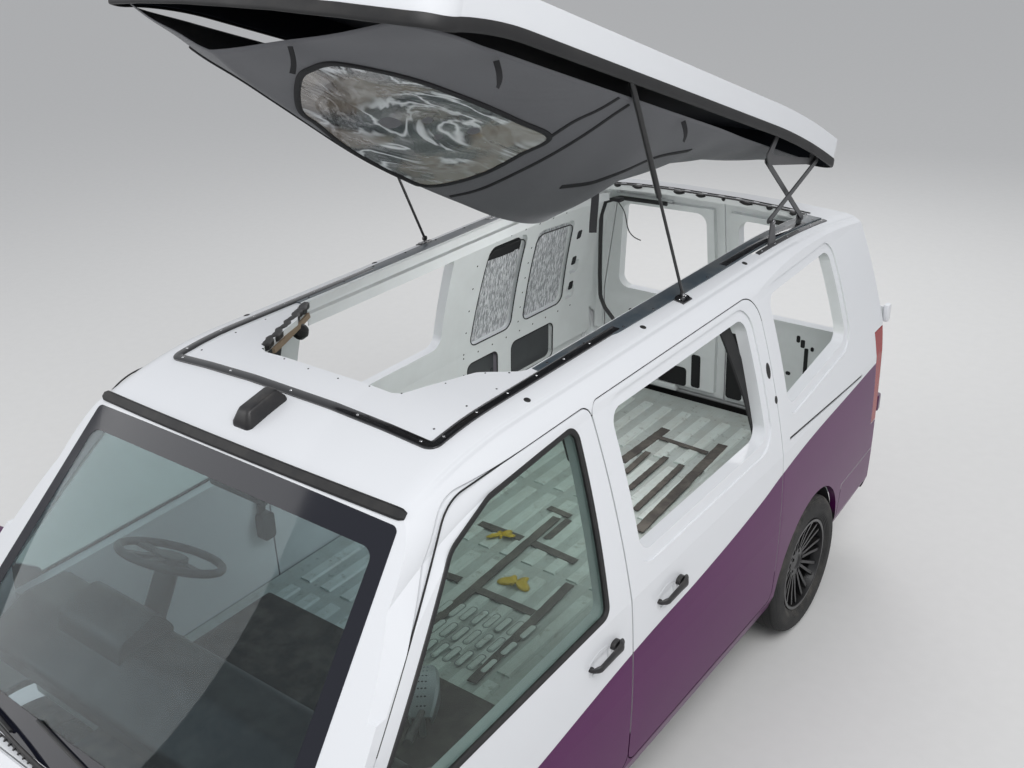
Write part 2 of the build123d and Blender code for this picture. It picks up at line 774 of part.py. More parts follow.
def alloy_wheel(side, axle):
    """Rim with ten pairs of thin spokes and a recessed centre."""
    rim_points = [
        (-100, 229.6, 3), (-100, 214, 3), (-60, 205, 10), (60, 205, 10), (104, 214, 3),
        (104, 229.6, 3), (90, 229.6, 3), (80, 218, 5), (-80, 218, 5), (-90, 229.6, 3)]
    rim = revolve(make_face(outline(rim_points)), Axis.X, 360)
    hub_points = [(30, 0, 0), (30, 78, 5), (62, 78, 8), (66, 40, 6), (58, 30, 4), (58, 0, 0)]
    hub = revolve(make_face(outline(hub_points)), Axis.X, 360)
    spoke_side = make_face(outline([(42, 66, 0), (64, 66, 4), (78, 150, 20), (92, 212, 4), (66, 212, 4), (50, 140, 20)]))
    spoke = extrude(Plane.XY * spoke_side, 7, both=True)
    wheel = rim + hub
    for k in range(10):
        for lean in (-8.5, 8.5):
            blade = Rot(36 * k + lean * 0.9, 0, 0) * spoke
            wheel = wheel + blade
    for k in range(5):
        bolt = Rot(72 * k, 0, 0) * Pos(45, 56, 0) * Rot(0, 90, 0) * Cylinder(9, 60)
        wheel = wheel - bolt
    placed = wheel if side > 0 else mirror(wheel, about=Plane.YZ)
    return largest(Pos(side * HALF_TRACK, row(axle), TYRE_RADIUS) * placed)


def knuckle(side):
    """Upright with its stub axle, brake caliper and steering arm."""
    upright = block(KINGPIN - 96, KINGPIN + 22, FRONT_AXLE - 40, FRONT_AXLE + 40, 276, 430)
    strut = rod_between(26, (KINGPIN - 90, FRONT_AXLE, 400), (KINGPIN - 96, FRONT_AXLE + 8, 700))
    stub = rod_x(34, KINGPIN + 20, KINGPIN + 42, FRONT_AXLE, TYRE_RADIUS)
    disc = rod_x(150, KINGPIN + 42, KINGPIN + 62, FRONT_AXLE, TYRE_RADIUS)
    caliper = side_prism(side_face([
        (FRONT_AXLE + 60, 290, 20), (FRONT_AXLE + 60, 430, 20), (FRONT_AXLE + 150, 446, 30),
        (FRONT_AXLE + 176, 330, 30)]), KINGPIN + 14, KINGPIN + 80)
    steer_arm = block(KINGPIN - 50, KINGPIN - 20, FRONT_AXLE + 20, FRONT_AXLE + 150, 300, 320)
    piece = upright + strut + stub + disc + caliper + steer_arm
    return piece if side > 0 else mirror(piece, about=Plane.YZ)


COLUMN_X = -390
WHEEL_CENTRE = (1330, 1322)
COLUMN_LEAN = 30


def steering_wheel():
    """Rim, four spokes and hub, square to the column."""
    ring = Torus(182, 15)
    hub = Pos(0, 0, -12) * Cylinder(62, 44)
    wheel = ring + fillet(hub.edges(), 8)
    for angle in (0, 180, 250, 290):
        spoke = Rot(0, 0, angle) * Pos(118, 0, -6) * Box(130, 34, 16)
        wheel = wheel + spoke
    place = Pos(COLUMN_X, row(WHEEL_CENTRE[0]), WHEEL_CENTRE[1]) * Rot(-COLUMN_LEAN, 0, 0)
    return place * wheel


def dashboard():
    """Moulded dash with the binnacle and the column stalk housing."""
    profile = [
        (850, 1000, 20), (830, 1105, 30), (1010, 1190, 60), (1180, 1180, 50),
        (1235, 1090, 40), (1200, 940, 60), (1060, 900, 40), (1010, 960, 30)]
    body = side_prism(side_face(profile), -830, 830)
    binnacle = side_prism(side_face([
        (960, 1150, 20), (980, 1240, 40), (1140, 1275, 40), (1205, 1160, 30)]), COLUMN_X - 170, COLUMN_X + 170)
    dash = body + binnacle
    lean = math.radians(COLUMN_LEAN)
    start = (COLUMN_X, WHEEL_CENTRE[0] - 260 * math.sin(lean), WHEEL_CENTRE[1] - 260 * math.cos(lean))
    end = (COLUMN_X, WHEEL_CENTRE[0] - 42 * math.sin(lean), WHEEL_CENTRE[1] - 42 * math.cos(lean))
    dash = dash + rod_between(42, start, end)
    return largest(dash & CABIN)


def interior_mirror():
    stem = rod_between(9, (0, 1300, 1800), (0, 1352, 1748))
    head = side_prism(side_face([(1352, 1690, 8), (1346, 1762, 8), (1366, 1764, 8), (1376, 1694, 8)]), -125, 125)
    return largest((head + stem) & CABIN)


def aerial_base():
    """Low oval foot of the roof aerial."""
    plan = make_face(Polyline((-40, 0), (-30, -72), (30, -72), (40, 0), (34, 68), (-34, 68), close=True))
    foot = Pos(0, row(1506), CROWN - 54) * Rot(13, 0, 0) * extrude(plan, 42, taper=16)
    foot = fillet(foot.edges().filter_by(Axis.Z, reverse=True), 4)
    return largest(foot - roof_form(0))


# Raised roof and its linkage

LINK_LENGTH = math.dist(LINK_POST, LINK_ROOF)


def closed_link():
    """Where the roof pivot rests when the roof is shut."""
    rim = CROWN - 32 - REAR_ROLL + math.sqrt(REAR_ROLL**2 - (4555 - REAR_ROLL_START) ** 2) + RIM_CLEARANCE
    height = rim + RIM_DROP
    drop = LINK_POST[1] - height
    return LINK_POST[0] + math.sqrt(LINK_LENGTH**2 - drop**2), height


SHUT = closed_link()
ROOF_REAR = SHUT[0] + ROOF_REAR_OVERHANG
ROOF_FRONT = ROOF_REAR - ROOF_LENGTH


def raise_roof(shape):
    """Carry a piece from the shut pose to the raised pose."""
    pivot = Axis((0, row(SHUT[0]), SHUT[1]), (1, 0, 0))
    turned_piece = shape.rotate(pivot, -TILT)
    return Pos(0, LINK_ROOF[0] - SHUT[0], LINK_ROOF[1] - SHUT[1]) * turned_piece


def roof_plan(inset):
    half = HALF_ROOF - inset
    front, rear = ROOF_FRONT + inset, ROOF_REAR - inset
    edges = [
        ThreePointArc((0, row(front)), (half * 0.55, row(front + 14)), (half - 90, row(front + 60))),
        ThreePointArc((half - 90, row(front + 60)), (half - 22, row(front + 100)), (half, row(front + 190))),
        Line((half, row(front + 190)), (half - 14, row(rear - 110))),
        ThreePointArc((half - 14, row(rear - 110)), (half - 45, row(rear - 38)), (half - 120, row(rear))),
        Line((half - 120, row(rear)), (0, row(rear))),
    ]
    return mirrored_face(edges)


def pop_top():
    """Moulded shell that follows the body roof, open underneath."""
    outside = extrude(roof_plan(0), 2400, dir=(0, 0, 1))
    inside = extrude(roof_plan(SHELL_WALL), 2400, dir=(0, 0, 1))
    outer = outside & roof_form(-SHELL_HEIGHT)
    hollow = inside & roof_form(-(SHELL_HEIGHT - SHELL_TOP))
    shell = outer - hollow - roof_form(-RIM_CLEARANCE)
    return shell.solids().sort_by(Axis.Z)[-1]


def upper_rails():
    """Flat rails under the shell that the linkage is pinned to, both sides."""
    s, z = SHUT
    rail = side_prism(side_face([
        (s + 26, z - 16, 12), (s + 26, z + 40, 8), (s - 40, z + 72, 8), (s - 470, z + 72, 8),
        (s - 540, z - 50, 12), (s - 500, z - 84, 12)]), LINK_X - 3, LINK_X + 3)
    window = side_prism(side_face([
        (s - 60, z + 2, 10), (s - 60, z + 50, 10), (s - 450, z + 50, 10), (s - 490, z - 40, 10)]), LINK_X - 9, LINK_X + 9)
    rail = rail - window - rod_x(PIN_HOLE, LINK_X - 9, LINK_X + 9, s, z)
    return both(rail)


def links():
    """Lifting arms: from the post's head back to the roof pivot."""
    arm = capsule(LINK_POST, LINK_ROOF, ARM_RADIUS, LINK_X + 9, LINK_X + 15)
    pin = rod_x(PIN_RADIUS, LINK_X - 5, LINK_X + 12, *LINK_ROOF)
    arm = arm + pin - rod_x(PIN_HOLE, LINK_X, LINK_X + 30, *LINK_POST)
    return both(arm)


def props():
    """Second pair of arms: from the rear foot forward to the rail's slot."""
    arm = capsule(PROP_FOOT, PROP_HEAD, ARM_RADIUS, LINK_X - 15, LINK_X - 9)
    arm = arm - rod_x(PIN_HOLE, LINK_X - 30, LINK_X, *PROP_FOOT)
    return both(arm)


def capsule(start, end, radius, x_low, x_high):
    """Flat bar with round ends between two (station, height) points."""
    a = Vector(row(start[0]), start[1])
    b = Vector(row(end[0]), end[1])
    face = SlotCenterToCenter((b - a).length, 2 * radius)
    angle = math.degrees(math.atan2(b.Y - a.Y, b.X - a.X))
    middle = (a + b) * 0.5
    placed = Pos(middle.X, middle.Y) * Rot(0, 0, angle) * face
    return side_prism(placed, x_low, x_high)


def hinge_rails():
    """Aluminium feet of the linkage along the roof slots."""
    parts = []
    outer = roof_form(-4) - roof_form(0)
    for x_low, x_high in ((LINK_X - 46, LINK_X - 23), (LINK_X + 27, LINK_X + 46)):
        parts.append(outer & block(x_low, x_high, 3700, 4440, 1700, 2100))
    post = side_prism(side_face([
        (3812, 1900, 0), (3830, 2052, 14), (3862, 2052, 14), (3900, 1900, 0)]), LINK_X + 27, LINK_X + 33)
    post = post - roof_form(0)
    pin = rod_x(PIN_RADIUS, LINK_X + 7, LINK_X + 30, *LINK_POST)
    foot = side_prism(side_face([
        (4230, 1880, 0), (4252, 1966, 12), (4288, 1966, 12), (4310, 1880, 0)]), LINK_X - 29, LINK_X - 23)
    foot = foot - roof_form(0)
    foot_pin = rod_x(PIN_RADIUS, LINK_X - 26, LINK_X - 7, *PROP_FOOT)
    outside = parts[1] + post + pin
    inside = parts[0] + foot + foot_pin
    return both(outside) + both(inside)


def strut_line():
    a = (STRUT_X, STRUT_HEAD[0], STRUT_HEAD[1])
    b = (STRUT_X, STRUT_FOOT[0], STRUT_FOOT[1])
    return a, b


def on_strut(distance):
    """Point at a distance down the strut from its head."""
    a, b = strut_line()
    share = distance / math.dist(a, b)
    return tuple(p + (q - p) * share for p, q in zip(a, b))


TUBE_LENGTH = 508
ROD_INSIDE = 16


def strut_tubes():
    tube = rod_between(11, on_strut(12), on_strut(TUBE_LENGTH))
    bore = rod_between(6.4, on_strut(30), on_strut(TUBE_LENGTH + 5))
    eye = rod_x(13, STRUT_X - 6, STRUT_X + 6, *STRUT_HEAD)
    return both(tube - bore + eye - rod_x(5.4, STRUT_X - 9, STRUT_X + 9, *STRUT_HEAD))


def strut_rods():
    total = math.dist(*strut_line())
    rod = rod_between(6, on_strut(TUBE_LENGTH - ROD_INSIDE), on_strut(total - 8))
    eye = rod_x(12, STRUT_X - 5, STRUT_X + 5, *STRUT_FOOT)
    return both(rod + eye)


def strut_feet():
    """Small studs on the cant rails under the rods' eyes."""
    plate = (roof_form(-4) - roof_form(0)) & block(STRUT_X - 25, STRUT_X + 25, STRUT_FOOT[0] - 35, STRUT_FOOT[0] + 35, 1800, 2100)
    return plate


# Canvas: (station, x of the keel, height of the keel, half-width)
CANVAS_KEEL = [
    (1625, -193, 3030, 550), (1664, -190, 2990, 600), (1916, -170, 2785, 640), (2166, -130, 2594, 640),
    (2389, -90, 2451, 640), (2603, -60, 2331, 640), (2809, -30, 2222, 640), (3016, 0, 2151, 640),
    (3358, 0, 2190, 636), (3640, 0, 2203, 606), (3833, 0, 2206, 600), (4421, 0, 2121, 590),
]
CANVAS_SHEET = 8
CANVAS_TUCK = 12


def rim_height(station):
    """Height of the raised shell's rim at a station."""
    slope = math.radians(TILT)
    height = LINK_ROOF[1] - RIM_DROP / math.cos(slope)
    return height + (LINK_ROOF[0] - station) * math.tan(slope)


def canvas():
    """Cloth hung from the raised rim, drawn together below into a keel like a boat's bow."""
    sections = []
    for s, x, keel, half in CANVAS_KEEL:
        rim = rim_height(s) + CANVAS_TUCK
        line = [(half, rim), (x, keel), (-half, rim)]
        line += [(a, b + CANVAS_SHEET) for a, b in reversed(line)]
        plane = Plane(origin=(0, row(s), 0), x_dir=(1, 0, 0), z_dir=(0, -1, 0))
        sections.append(plane * make_face(Polyline(*line, close=True)))
    return loft(sections, ruled=True)


# Loose cable from the rear header

CABLE = [
    (-560, 4560, 1780), (-556, 4566, 1765), (-548, 4582, 1742), (-538, 4594, 1712), (-530, 4596, 1678),
    (-520, 4590, 1644), (-504, 4582, 1614), (-480, 4578, 1592), (-452, 4578, 1578), (-424, 4580, 1572)]
CABLE_RADIUS = 3


def cable_path():
    points = [(x, row(s), z) for x, s, z in CABLE]
    radii = []
    for a, b, c in zip(points, points[1:], points[2:]):
        first, second = Vector(b) - Vector(a), Vector(c) - Vector(b)
        turn = math.radians(first.get_angle(second))
        radii.append(0.45 * min(first.length, second.length) / math.tan(turn / 2))
    print("cable radii", [round(r, 1) for r in radii])
    return FilletPolyline(*points, radius=radii)


def loose_cable():
    path = cable_path()
    circle = make_face(CenterArc((0, 0), CABLE_RADIUS, 0, 360))
    tube = sweep(Plane(origin=path @ 0, z_dir=path % 0) * circle, path=path)
    expected = math.pi * CABLE_RADIUS**2 * path.length
    print("cable length", round(path.length), "volume share", round(tube.volume / expected, 4))
    return tube


def cable_clip():
    return block(-585, -535, 4540, 4580, 1781, 1800)


def save(name, *pieces):
    """Write one node from one or more separate solids."""
    solids = []
    for piece in pieces:
        for part in (piece if isinstance(piece, list) else [piece]):
            solids += part.solids()
    export_step(Compound(children=solids) if len(solids) > 1 else solids[0], f"parts/{name}.step")


os.makedirs("parts", exist_ok=True)
save("roof_panel", roof_panel())
save("roof_trim", roof_trim())
save("side_panel_left", side_panel(1))
save("side_panel_right", side_panel(-1))
save("sliding_door", sliding_door())
save("cab_frame", cab_frame())
save("windscreen", windscreen())
save("front_wings", front_wing(1), front_wing(-1))
save("front_bumper", front_bumper())
save("grille", grille())
save("headlamps", headlamp(1), headlamp(-1))
save("tail_lamps", tail_lamp(1), tail_lamp(-1))
save("rear_bumper", rear_bumper())
save("bonnet", bonnet())
save("dashboard", dashboard())
save("interior_mirror", interior_mirror())
save("aerial_base", aerial_base())
save("hinge_rails", hinge_rails(), both(strut_feet()))
save("floor_pan", floor_pan())
save("front_subframe", front_subframe())
save("engine_block", engine_block())
save("rear_axle", rear_axle())
save("fuel_tank", fuel_tank())
save("exhaust", exhaust())
save("loose_cable", loose_cable())
save("cable_clip", cable_clip())
for side, word in ((1, "left"), (-1, "right")):
    save(f"door_{word}", front_door(side))
    save(f"door_glass_{word}", door_glass(side))
    save(f"door_mirror_{word}", door_mirror(side))
    save(f"rear_door_{word}", rear_door(side), rear_hinge_leaves(side))
    save(f"knuckle_{word}", knuckle(side))
    for axle, end in ((FRONT_AXLE, "front"), (REAR_AXLE, "rear")):
        save(f"tyre_{end}_{word}", tyre(side * HALF_TRACK, axle))
        save(f"wheel_{end}_{word}", alloy_wheel(side, axle))
save("steering_wheel", steering_wheel())
save("pop_top", raise_roof(pop_top()))
save("roof_rails", [raise_roof(p) for p in upper_rails()])
save("canvas", canvas())
save("lifting_arms", links())
save("prop_arms", props())
save("strut_tubes", strut_tubes())
save("strut_rods", strut_rods())
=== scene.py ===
"""Looks of a camper van with a raised pop-top roof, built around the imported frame.

The frame's own axes: the van's front faces -Y, its left side is +X and Z is up, in metres.
Tables and shape functions run in millimetres: x to the left, station rearward from the front
bumper and height above the ground. place() turns them into the frame's metres.
"""

import math

import bmesh
import bpy
import numpy as np
from mathutils import Matrix, Vector


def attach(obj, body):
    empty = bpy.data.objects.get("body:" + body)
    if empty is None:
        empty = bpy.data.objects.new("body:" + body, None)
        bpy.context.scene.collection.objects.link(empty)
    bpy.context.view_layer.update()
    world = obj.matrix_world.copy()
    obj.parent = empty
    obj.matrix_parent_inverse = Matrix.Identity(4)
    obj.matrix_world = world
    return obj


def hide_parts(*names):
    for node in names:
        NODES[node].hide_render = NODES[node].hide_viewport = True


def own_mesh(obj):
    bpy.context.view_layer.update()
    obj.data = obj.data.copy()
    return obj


bl_info = {
    "name": "Camper Van Looks",
    "version": (1, 0, 0),
    "blender": (4, 5, 0),
    "location": "View3D > Sidebar > Camper",
    "description": "Finishes and soft parts of a camper van with a raised pop-top roof",
    "category": "Object",
}

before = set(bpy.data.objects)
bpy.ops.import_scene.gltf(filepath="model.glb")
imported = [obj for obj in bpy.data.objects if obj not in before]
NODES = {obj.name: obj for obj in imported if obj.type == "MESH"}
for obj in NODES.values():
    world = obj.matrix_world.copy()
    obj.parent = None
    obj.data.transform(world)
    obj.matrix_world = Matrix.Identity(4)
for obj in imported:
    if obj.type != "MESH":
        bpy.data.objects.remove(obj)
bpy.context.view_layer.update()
MIDDLE = 2452.0

# Photograph's camera: place, turn and lens from the van's known sizes
CAMERA_PLACE = (2.5837, -3.0199, 3.5265)
CAMERA_YAW = -38.143
CAMERA_PITCH = 23.795
CAMERA_ROLL = -2.019
CAMERA_FOCUS = 1122.56
PICTURE_WIDTH = 1024
CAMERA_SHIFT = (14.9, -30.7)

# Height of the colour split along the side: station, height
SPLIT_LINE = (
    (0, 680), (900, 775), (1638, 861), (2308, 938), (2742, 965),
    (3267, 1024), (3516, 1068), (4431, 1106), (4904, 1115),
)

# Body surface, the same numbers as the solids
CROWN = 1972.0
FRONT_ROLL = (1900.0, 1700.0)
REAR_ROLL = (3700.0, 6140.0)
TAPER_START = 3500.0
TAPER = math.tan(math.radians(2.2))
WAIST = 1150.0
WHEELBASE = 3000.0
REAR_AXLE = 3908.0
AXLE_HEIGHT = 345.0
HALF_TRACK = 814.0

# Raised roof
TILT = math.radians(19.3)
RAISED_PIVOT = (4333.0, 2210.0)
SHUT_PIVOT = (4341.5, 1912.2)
SHELL_UP = (0.0, math.sin(TILT), math.cos(TILT))
SHELL_ENDS = (1393.5, 4553.5)

# Outlines on the side: station, height, corner radius
FRONT_WINDOW = (
    (1000, 1148, 25), (1000, 1288, 40), (1455, 1734, 120), (1660, 1800, 120),
    (2135, 1828, 40), (2088, 1178, 40),
)
FRONT_DOOR = ((955, 412, 50), (955, 1322, 60), (1500, 1858, 170), (2228, 1862, 45), (2228, 412, 50))
SLIDING_DOOR = ((2236, 412, 50), (2236, 1862, 45), (3475, 1862, 120), (3475, 412, 50))
# Shut-line strips, painted near black as the shade in the gaps: door outline, lowest height in front and
# behind
SHUT_LINES = ((FRONT_DOOR, 1372, 1828), (SLIDING_DOOR, 1822, 1742))

# Canvas: station, x of the keel, height of the keel, half-width at the rim
CANVAS_KEEL = np.array((
    (1625, -193, 3030, 550), (1664, -190, 2990, 600), (1916, -170, 2785, 640), (2166, -130, 2594, 640),
    (2389, -90, 2451, 640), (2603, -60, 2331, 640), (2809, -30, 2222, 640), (3016, 0, 2151, 640),
    (3358, 0, 2190, 636), (3640, 0, 2203, 606), (3833, 0, 2206, 600), (4421, 0, 2121, 590)), float)

# Loose cable of the rear header, in metres
CABLE = (
    (-0.560, 2.108, 1.780), (-0.556, 2.114, 1.765), (-0.548, 2.130, 1.742), (-0.538, 2.142, 1.712),
    (-0.530, 2.144, 1.678), (-0.520, 2.138, 1.644), (-0.504, 2.130, 1.614), (-0.480, 2.126, 1.592),
    (-0.452, 2.126, 1.578), (-0.424, 2.128, 1.572),
)


class CamperFinish(bpy.types.PropertyGroup):
    """Colours and finishes that a user would change."""

    upper_paint: bpy.props.FloatVectorProperty(
        name="Upper Paint", description="Colour above the split line", subtype="COLOR",
        size=3, default=(0.76, 0.775, 0.80), min=0, max=1)
    lower_paint: bpy.props.FloatVectorProperty(
        name="Lower Paint", description="Colour below the split line", subtype="COLOR",
        size=3, default=(0.066, 0.003, 0.060), min=0, max=1)
    inner_paint: bpy.props.FloatVectorProperty(
        name="Inner Paint", description="Colour of the bare inner panels", subtype="COLOR",
        size=3, default=(0.74, 0.77, 0.77), min=0, max=1)
    canvas: bpy.props.FloatVectorProperty(
        name="Canvas", description="Colour of the roof's cloth", subtype="COLOR",
        size=3, default=(0.085, 0.087, 0.097), min=0, max=1)
    beam_paint: bpy.props.FloatVectorProperty(
        name="Beam Paint", description="Colour of the beams beside the roof opening", subtype="COLOR",
        size=3, default=(0.052, 0.072, 0.090), min=0, max=1)
    grime: bpy.props.FloatProperty(
        name="Floor Grime", description="How much old adhesive and dust lies on the load floor",
        subtype="FACTOR", default=0.5, min=0, max=1)


class CamperSizes(bpy.types.PropertyGroup):
    """Sizes that a user would change."""

    seal_width: bpy.props.FloatProperty(
        name="Screen Seal", description="Width of the black rubber above the windscreen",
        subtype="DISTANCE", unit="LENGTH", default=0.038, min=0.01, max=0.05)
    strap_width: bpy.props.FloatProperty(
        name="Strap Width", description="Width of the hanging webbing",
        subtype="DISTANCE", unit="LENGTH", default=0.038, min=0.01, max=0.08)
    strip_width: bpy.props.FloatProperty(
        name="Floor Strip", description="Width of the wide adhesive strips on the floor",
        subtype="DISTANCE", unit="LENGTH", default=0.056, min=0.02, max=0.1)


# Shape helpers


def place(x, station, height):
    """Points in metres from x, station and height in millimetres."""
    x, station, height = np.broadcast_arrays(np.asarray(x, float), station, height)
    return np.stack([x, station - MIDDLE, height], -1) / 1000


def unit(vectors):
    return vectors / np.maximum(np.linalg.norm(vectors, axis=-1, keepdims=True), 1e-12)


def arc_through(a, b, c):
    """Centre and radius of the circle through three points."""
    (ax, ay), (bx, by), (cx, cy) = a, b, c
    d = 2 * (ax * (by - cy) + bx * (cy - ay) + cx * (ay - by))
    x = ((ax**2 + ay**2) * (by - cy) + (bx**2 + by**2) * (cy - ay) + (cx**2 + cy**2) * (ay - by)) / d
    y = ((ax**2 + ay**2) * (cx - bx) + (bx**2 + by**2) * (ax - cx) + (cx**2 + cy**2) * (bx - ax)) / d
    return x, y, math.hypot(ax - x, ay - y)


def arc_line(a, b, c, count=24):
    """Points from a through b to c on their circle."""
    x, y, r = arc_through(a, b, c)
    start, middle, end = (math.atan2(py - y, px - x) for px, py in (a, b, c))
    turn = (end - start) % (2 * math.pi)
    if (middle - start) % (2 * math.pi) > turn:
        turn -= 2 * math.pi
    angle = start + turn * np.linspace(0, 1, count)
    return np.stack([x + r * np.cos(angle), y + r * np.sin(angle)], -1)


BELLY_ARC = arc_through((934, 400), (952, 780), (942, 1150))
LEAN_ARC = arc_through((942, 1150), (870, 1502), (776, 1822))
CANT_ARC = arc_through((640, 1947), (730.7, 1908.2), (776, 1822))


def side_reach(height, station):
    """Outer side's distance from the middle: one arc below the waist, one above, then a straight taper."""
    x1, z1, r1 = BELLY_ARC
    x2, z2, r2 = LEAN_ARC
    low = x1 + np.sqrt(np.maximum(r1**2 - (height - z1) ** 2, 0))
    high = x2 + np.sqrt(np.maximum(r2**2 - (height - z2) ** 2, 0))
    return np.where(height < WAIST, low, high) - np.maximum(station - TAPER_START, 0) * TAPER


def roof_height(x, station):
    """Roof surface: crown and cant-rail arc across, rolled down on a large arc towards each end."""
    x = np.abs(x)
    cx, cz, r = CANT_ARC
    flat = np.interp(x, (0, 190, 420, 640), (CROWN, CROWN, CROWN - 9.5, 1947))
    section = np.where(x < 640, flat, cz + np.sqrt(np.maximum(r**2 - (x - cx) ** 2, 0)))
    ahead = np.maximum(FRONT_ROLL[0] - station, 0)
    behind = np.maximum(station - REAR_ROLL[0], 0)
    roll = np.where(ahead > 0, FRONT_ROLL[1], REAR_ROLL[1])
    centre = CROWN - roll
    return centre + np.sqrt((section - centre) ** 2 - (ahead + behind) ** 2)


def rim_height(station):
    """Height of the raised shell's rim, a straight line falling rearward."""
    return RAISED_PIVOT[1] - 20 / math.cos(TILT) + (RAISED_PIVOT[0] - station) * math.tan(TILT)


def smooth_line(keys, t):
    """Cubic line through keys (t, values...), its slope at each key from that key's neighbours."""
    x, y = keys[:, 0], keys[:, 1:]
    slope = np.gradient(y, x, axis=0)
    i = np.clip(np.searchsorted(x, t) - 1, 0, len(x) - 2)
    h = (x[i + 1] - x[i])[..., None]
    f = (np.asarray(t) - x[i])[..., None] / h
    return ((2 * f**3 - 3 * f**2 + 1) * y[i] + (f**3 - 2 * f**2 + f) * h * slope[i]
            + (3 * f**2 - 2 * f**3) * y[i + 1] + (f**3 - f**2) * h * slope[i + 1])


def rounded(corners, per=10):
    """Closed outline of (a, b, radius) corners, each turned by an arc that touches both of its runs."""
    table = np.array(corners, float)
    p, r = table[:, :2], table[:, 2]
    before, after = unit(np.roll(p, 1, 0) - p), unit(np.roll(p, -1, 0) - p)
    half = np.arccos(np.clip((before * after).sum(-1), -1, 1)) / 2
    centre = p + unit(before + after) * (r / np.sin(half))[:, None]
    reach = (r / np.tan(half))[:, None]
    first, last = p + before * reach - centre, p + after * reach - centre
    angle = np.arctan2(first[:, 1], first[:, 0])
    turn = (np.arctan2(last[:, 1], last[:, 0]) - angle + math.pi) % (2 * math.pi) - math.pi
    angle = angle[:, None] + turn[:, None] * np.linspace(0, 1, per)
    arcs = centre[:, None] + r[:, None, None] * np.stack([np.cos(angle), np.sin(angle)], -1)
    return arcs.reshape(-1, 2)


def rounded_box(low, high, bottom, top, radius, per=10):
    """Closed outline of a rounded rectangle between two values each way."""
    return rounded(((low, bottom, radius), (high, bottom, radius), (high, top, radius), (low, top, radius)),
                   per)


def evenly(points, count, closed=True):
    """A line's points respaced evenly by length."""
    points = np.asarray(points, float)
    line = np.vstack([points, points[:1]]) if closed else points
    run = np.concatenate([[0], np.cumsum(np.linalg.norm(np.diff(line, axis=0), axis=1))])
    t = np.linspace(0, run[-1], count, endpoint=not closed)
    return np.stack([np.interp(t, run, line[:, k]) for k in range(line.shape[1])], -1)


def grown(outline, distance):
    """Closed outline moved outward by a distance along its own normals."""
    ahead = unit(np.roll(outline, -1, 0) - np.roll(outline, 1, 0))
    a, b = outline[:, 0], outline[:, 1]
    area = (a * np.roll(b, -1) - b * np.roll(a, -1)).sum()
    return outline + np.sign(area) * distance * np.stack([ahead[:, 1], -ahead[:, 0]], -1)


def on_side(outline, lift=0.0, side=1):
    """Points of (station, height) pairs on the body side, lifted outward, and their outward normals."""
    s, z = np.asarray(outline, float)[..., 0], np.asarray(outline, float)[..., 1]
    lean = (side_reach(z + 1, s) - side_reach(z - 1, s)) / 2
    draw = (side_reach(z, s + 1) - side_reach(z, s - 1)) / 2
    normal = unit(np.stack([np.ones_like(s), -draw, -lean], -1))
    points = place(side_reach(z, s), s, z) + normal * np.asarray(lift)[..., None] / 1000
    flip = np.array((side, 1, 1))
    return points * flip, normal * flip


def on_roof(x, station, lift=0.0):
    """Points on the roof surface, lifted upward."""
    return place(x, station, roof_height(x, station) + lift)


def on_screen(x, up, lift=0.0):
    """Points on the windscreen: a cylinder whose axis runs up the slope, sunk by its sagitta at x."""
    slope = math.radians(45)
    sag = 4500 - np.sqrt(4500.0**2 - np.asarray(x, float) ** 2) - lift
    return place(x, 575 + up * math.cos(slope) + sag * math.sin(slope),
                 1120 + up * math.sin(slope) - sag * math.cos(slope))


def hull(station, across, side=1):
    """Canvas wall from the keel, across 0, to the shell's rim, across 1: part straight and part square."""
    station, across = np.broadcast_arrays(np.asarray(station, float), np.asarray(across, float))
    keel = smooth_line(CANVAS_KEEL, station)
    x, z, half = keel[..., 0], keel[..., 1], keel[..., 2]
    rim = rim_height(station) + 12
    return place(x + (side * half - x) * across, station, z + (rim - z) * (0.25 * across**2 + 0.75 * across))


def grid_faces(rows, columns, wrap_rows=False, wrap_columns=False):
    """Quads of a rows by columns grid, numbered row by row, as whole arrays."""
    r = np.arange(rows if wrap_rows else rows - 1)
    c = np.arange(columns if wrap_columns else columns - 1)
    r, c = np.meshgrid(r, c, indexing="ij")
    r2, c2 = (r + 1) % rows, (c + 1) % columns
    quads = np.stack([r * columns + c, r * columns + c2, r2 * columns + c2, r2 * columns + c], -1)
    return quads.reshape(-1, 4).tolist()


def sheet_part(points, ring=False):
    """A (rows, columns, 3) grid as points and quads, its rows closed round where it is a ring."""
    rows, columns = points.shape[:2]
    return points.reshape(-1, 3), grid_faces(rows, columns, False, ring)


def lofted(rows):
    """Closed part through matching closed rings of points, capped at its first and last ring."""
    count = len(rows[0])
    last = (len(rows) - 1) * count
    faces = grid_faces(len(rows), count, False, True)
    faces += [list(range(count))[::-1], list(range(last, last + count))]
    return np.vstack(list(rows)), faces


def carried(path, outward, profile, closed=False, centre=None):
    """Closed profile in millimetres carried along a path: path + across * side + out * outward.

    Where a centre is given, positive across points away from it.
    """
    path = np.asarray(path, float)
    outward = np.broadcast_to(np.asarray(outward, float), path.shape)
    ahead = np.roll(path, -1, 0) - np.roll(path, 1, 0) if closed else np.gradient(path, axis=0)
    ahead = unit(ahead)
    side = unit(np.cross(ahead, outward))
    out = unit(np.cross(side, ahead))
    if centre is not None and ((path - np.asarray(centre)) * side).sum() < 0:
        side = -side
    profile = np.asarray(profile, float) / 1000
    if profile.ndim == 2:
        profile = np.broadcast_to(profile, (len(path), *profile.shape))
    points = path[:, None] + profile[..., :1] * side[:, None] + profile[..., 1:] * out[:, None]
    if closed:
        return points.reshape(-1, 3), grid_faces(len(path), profile.shape[1], True, True)
    return lofted(points)


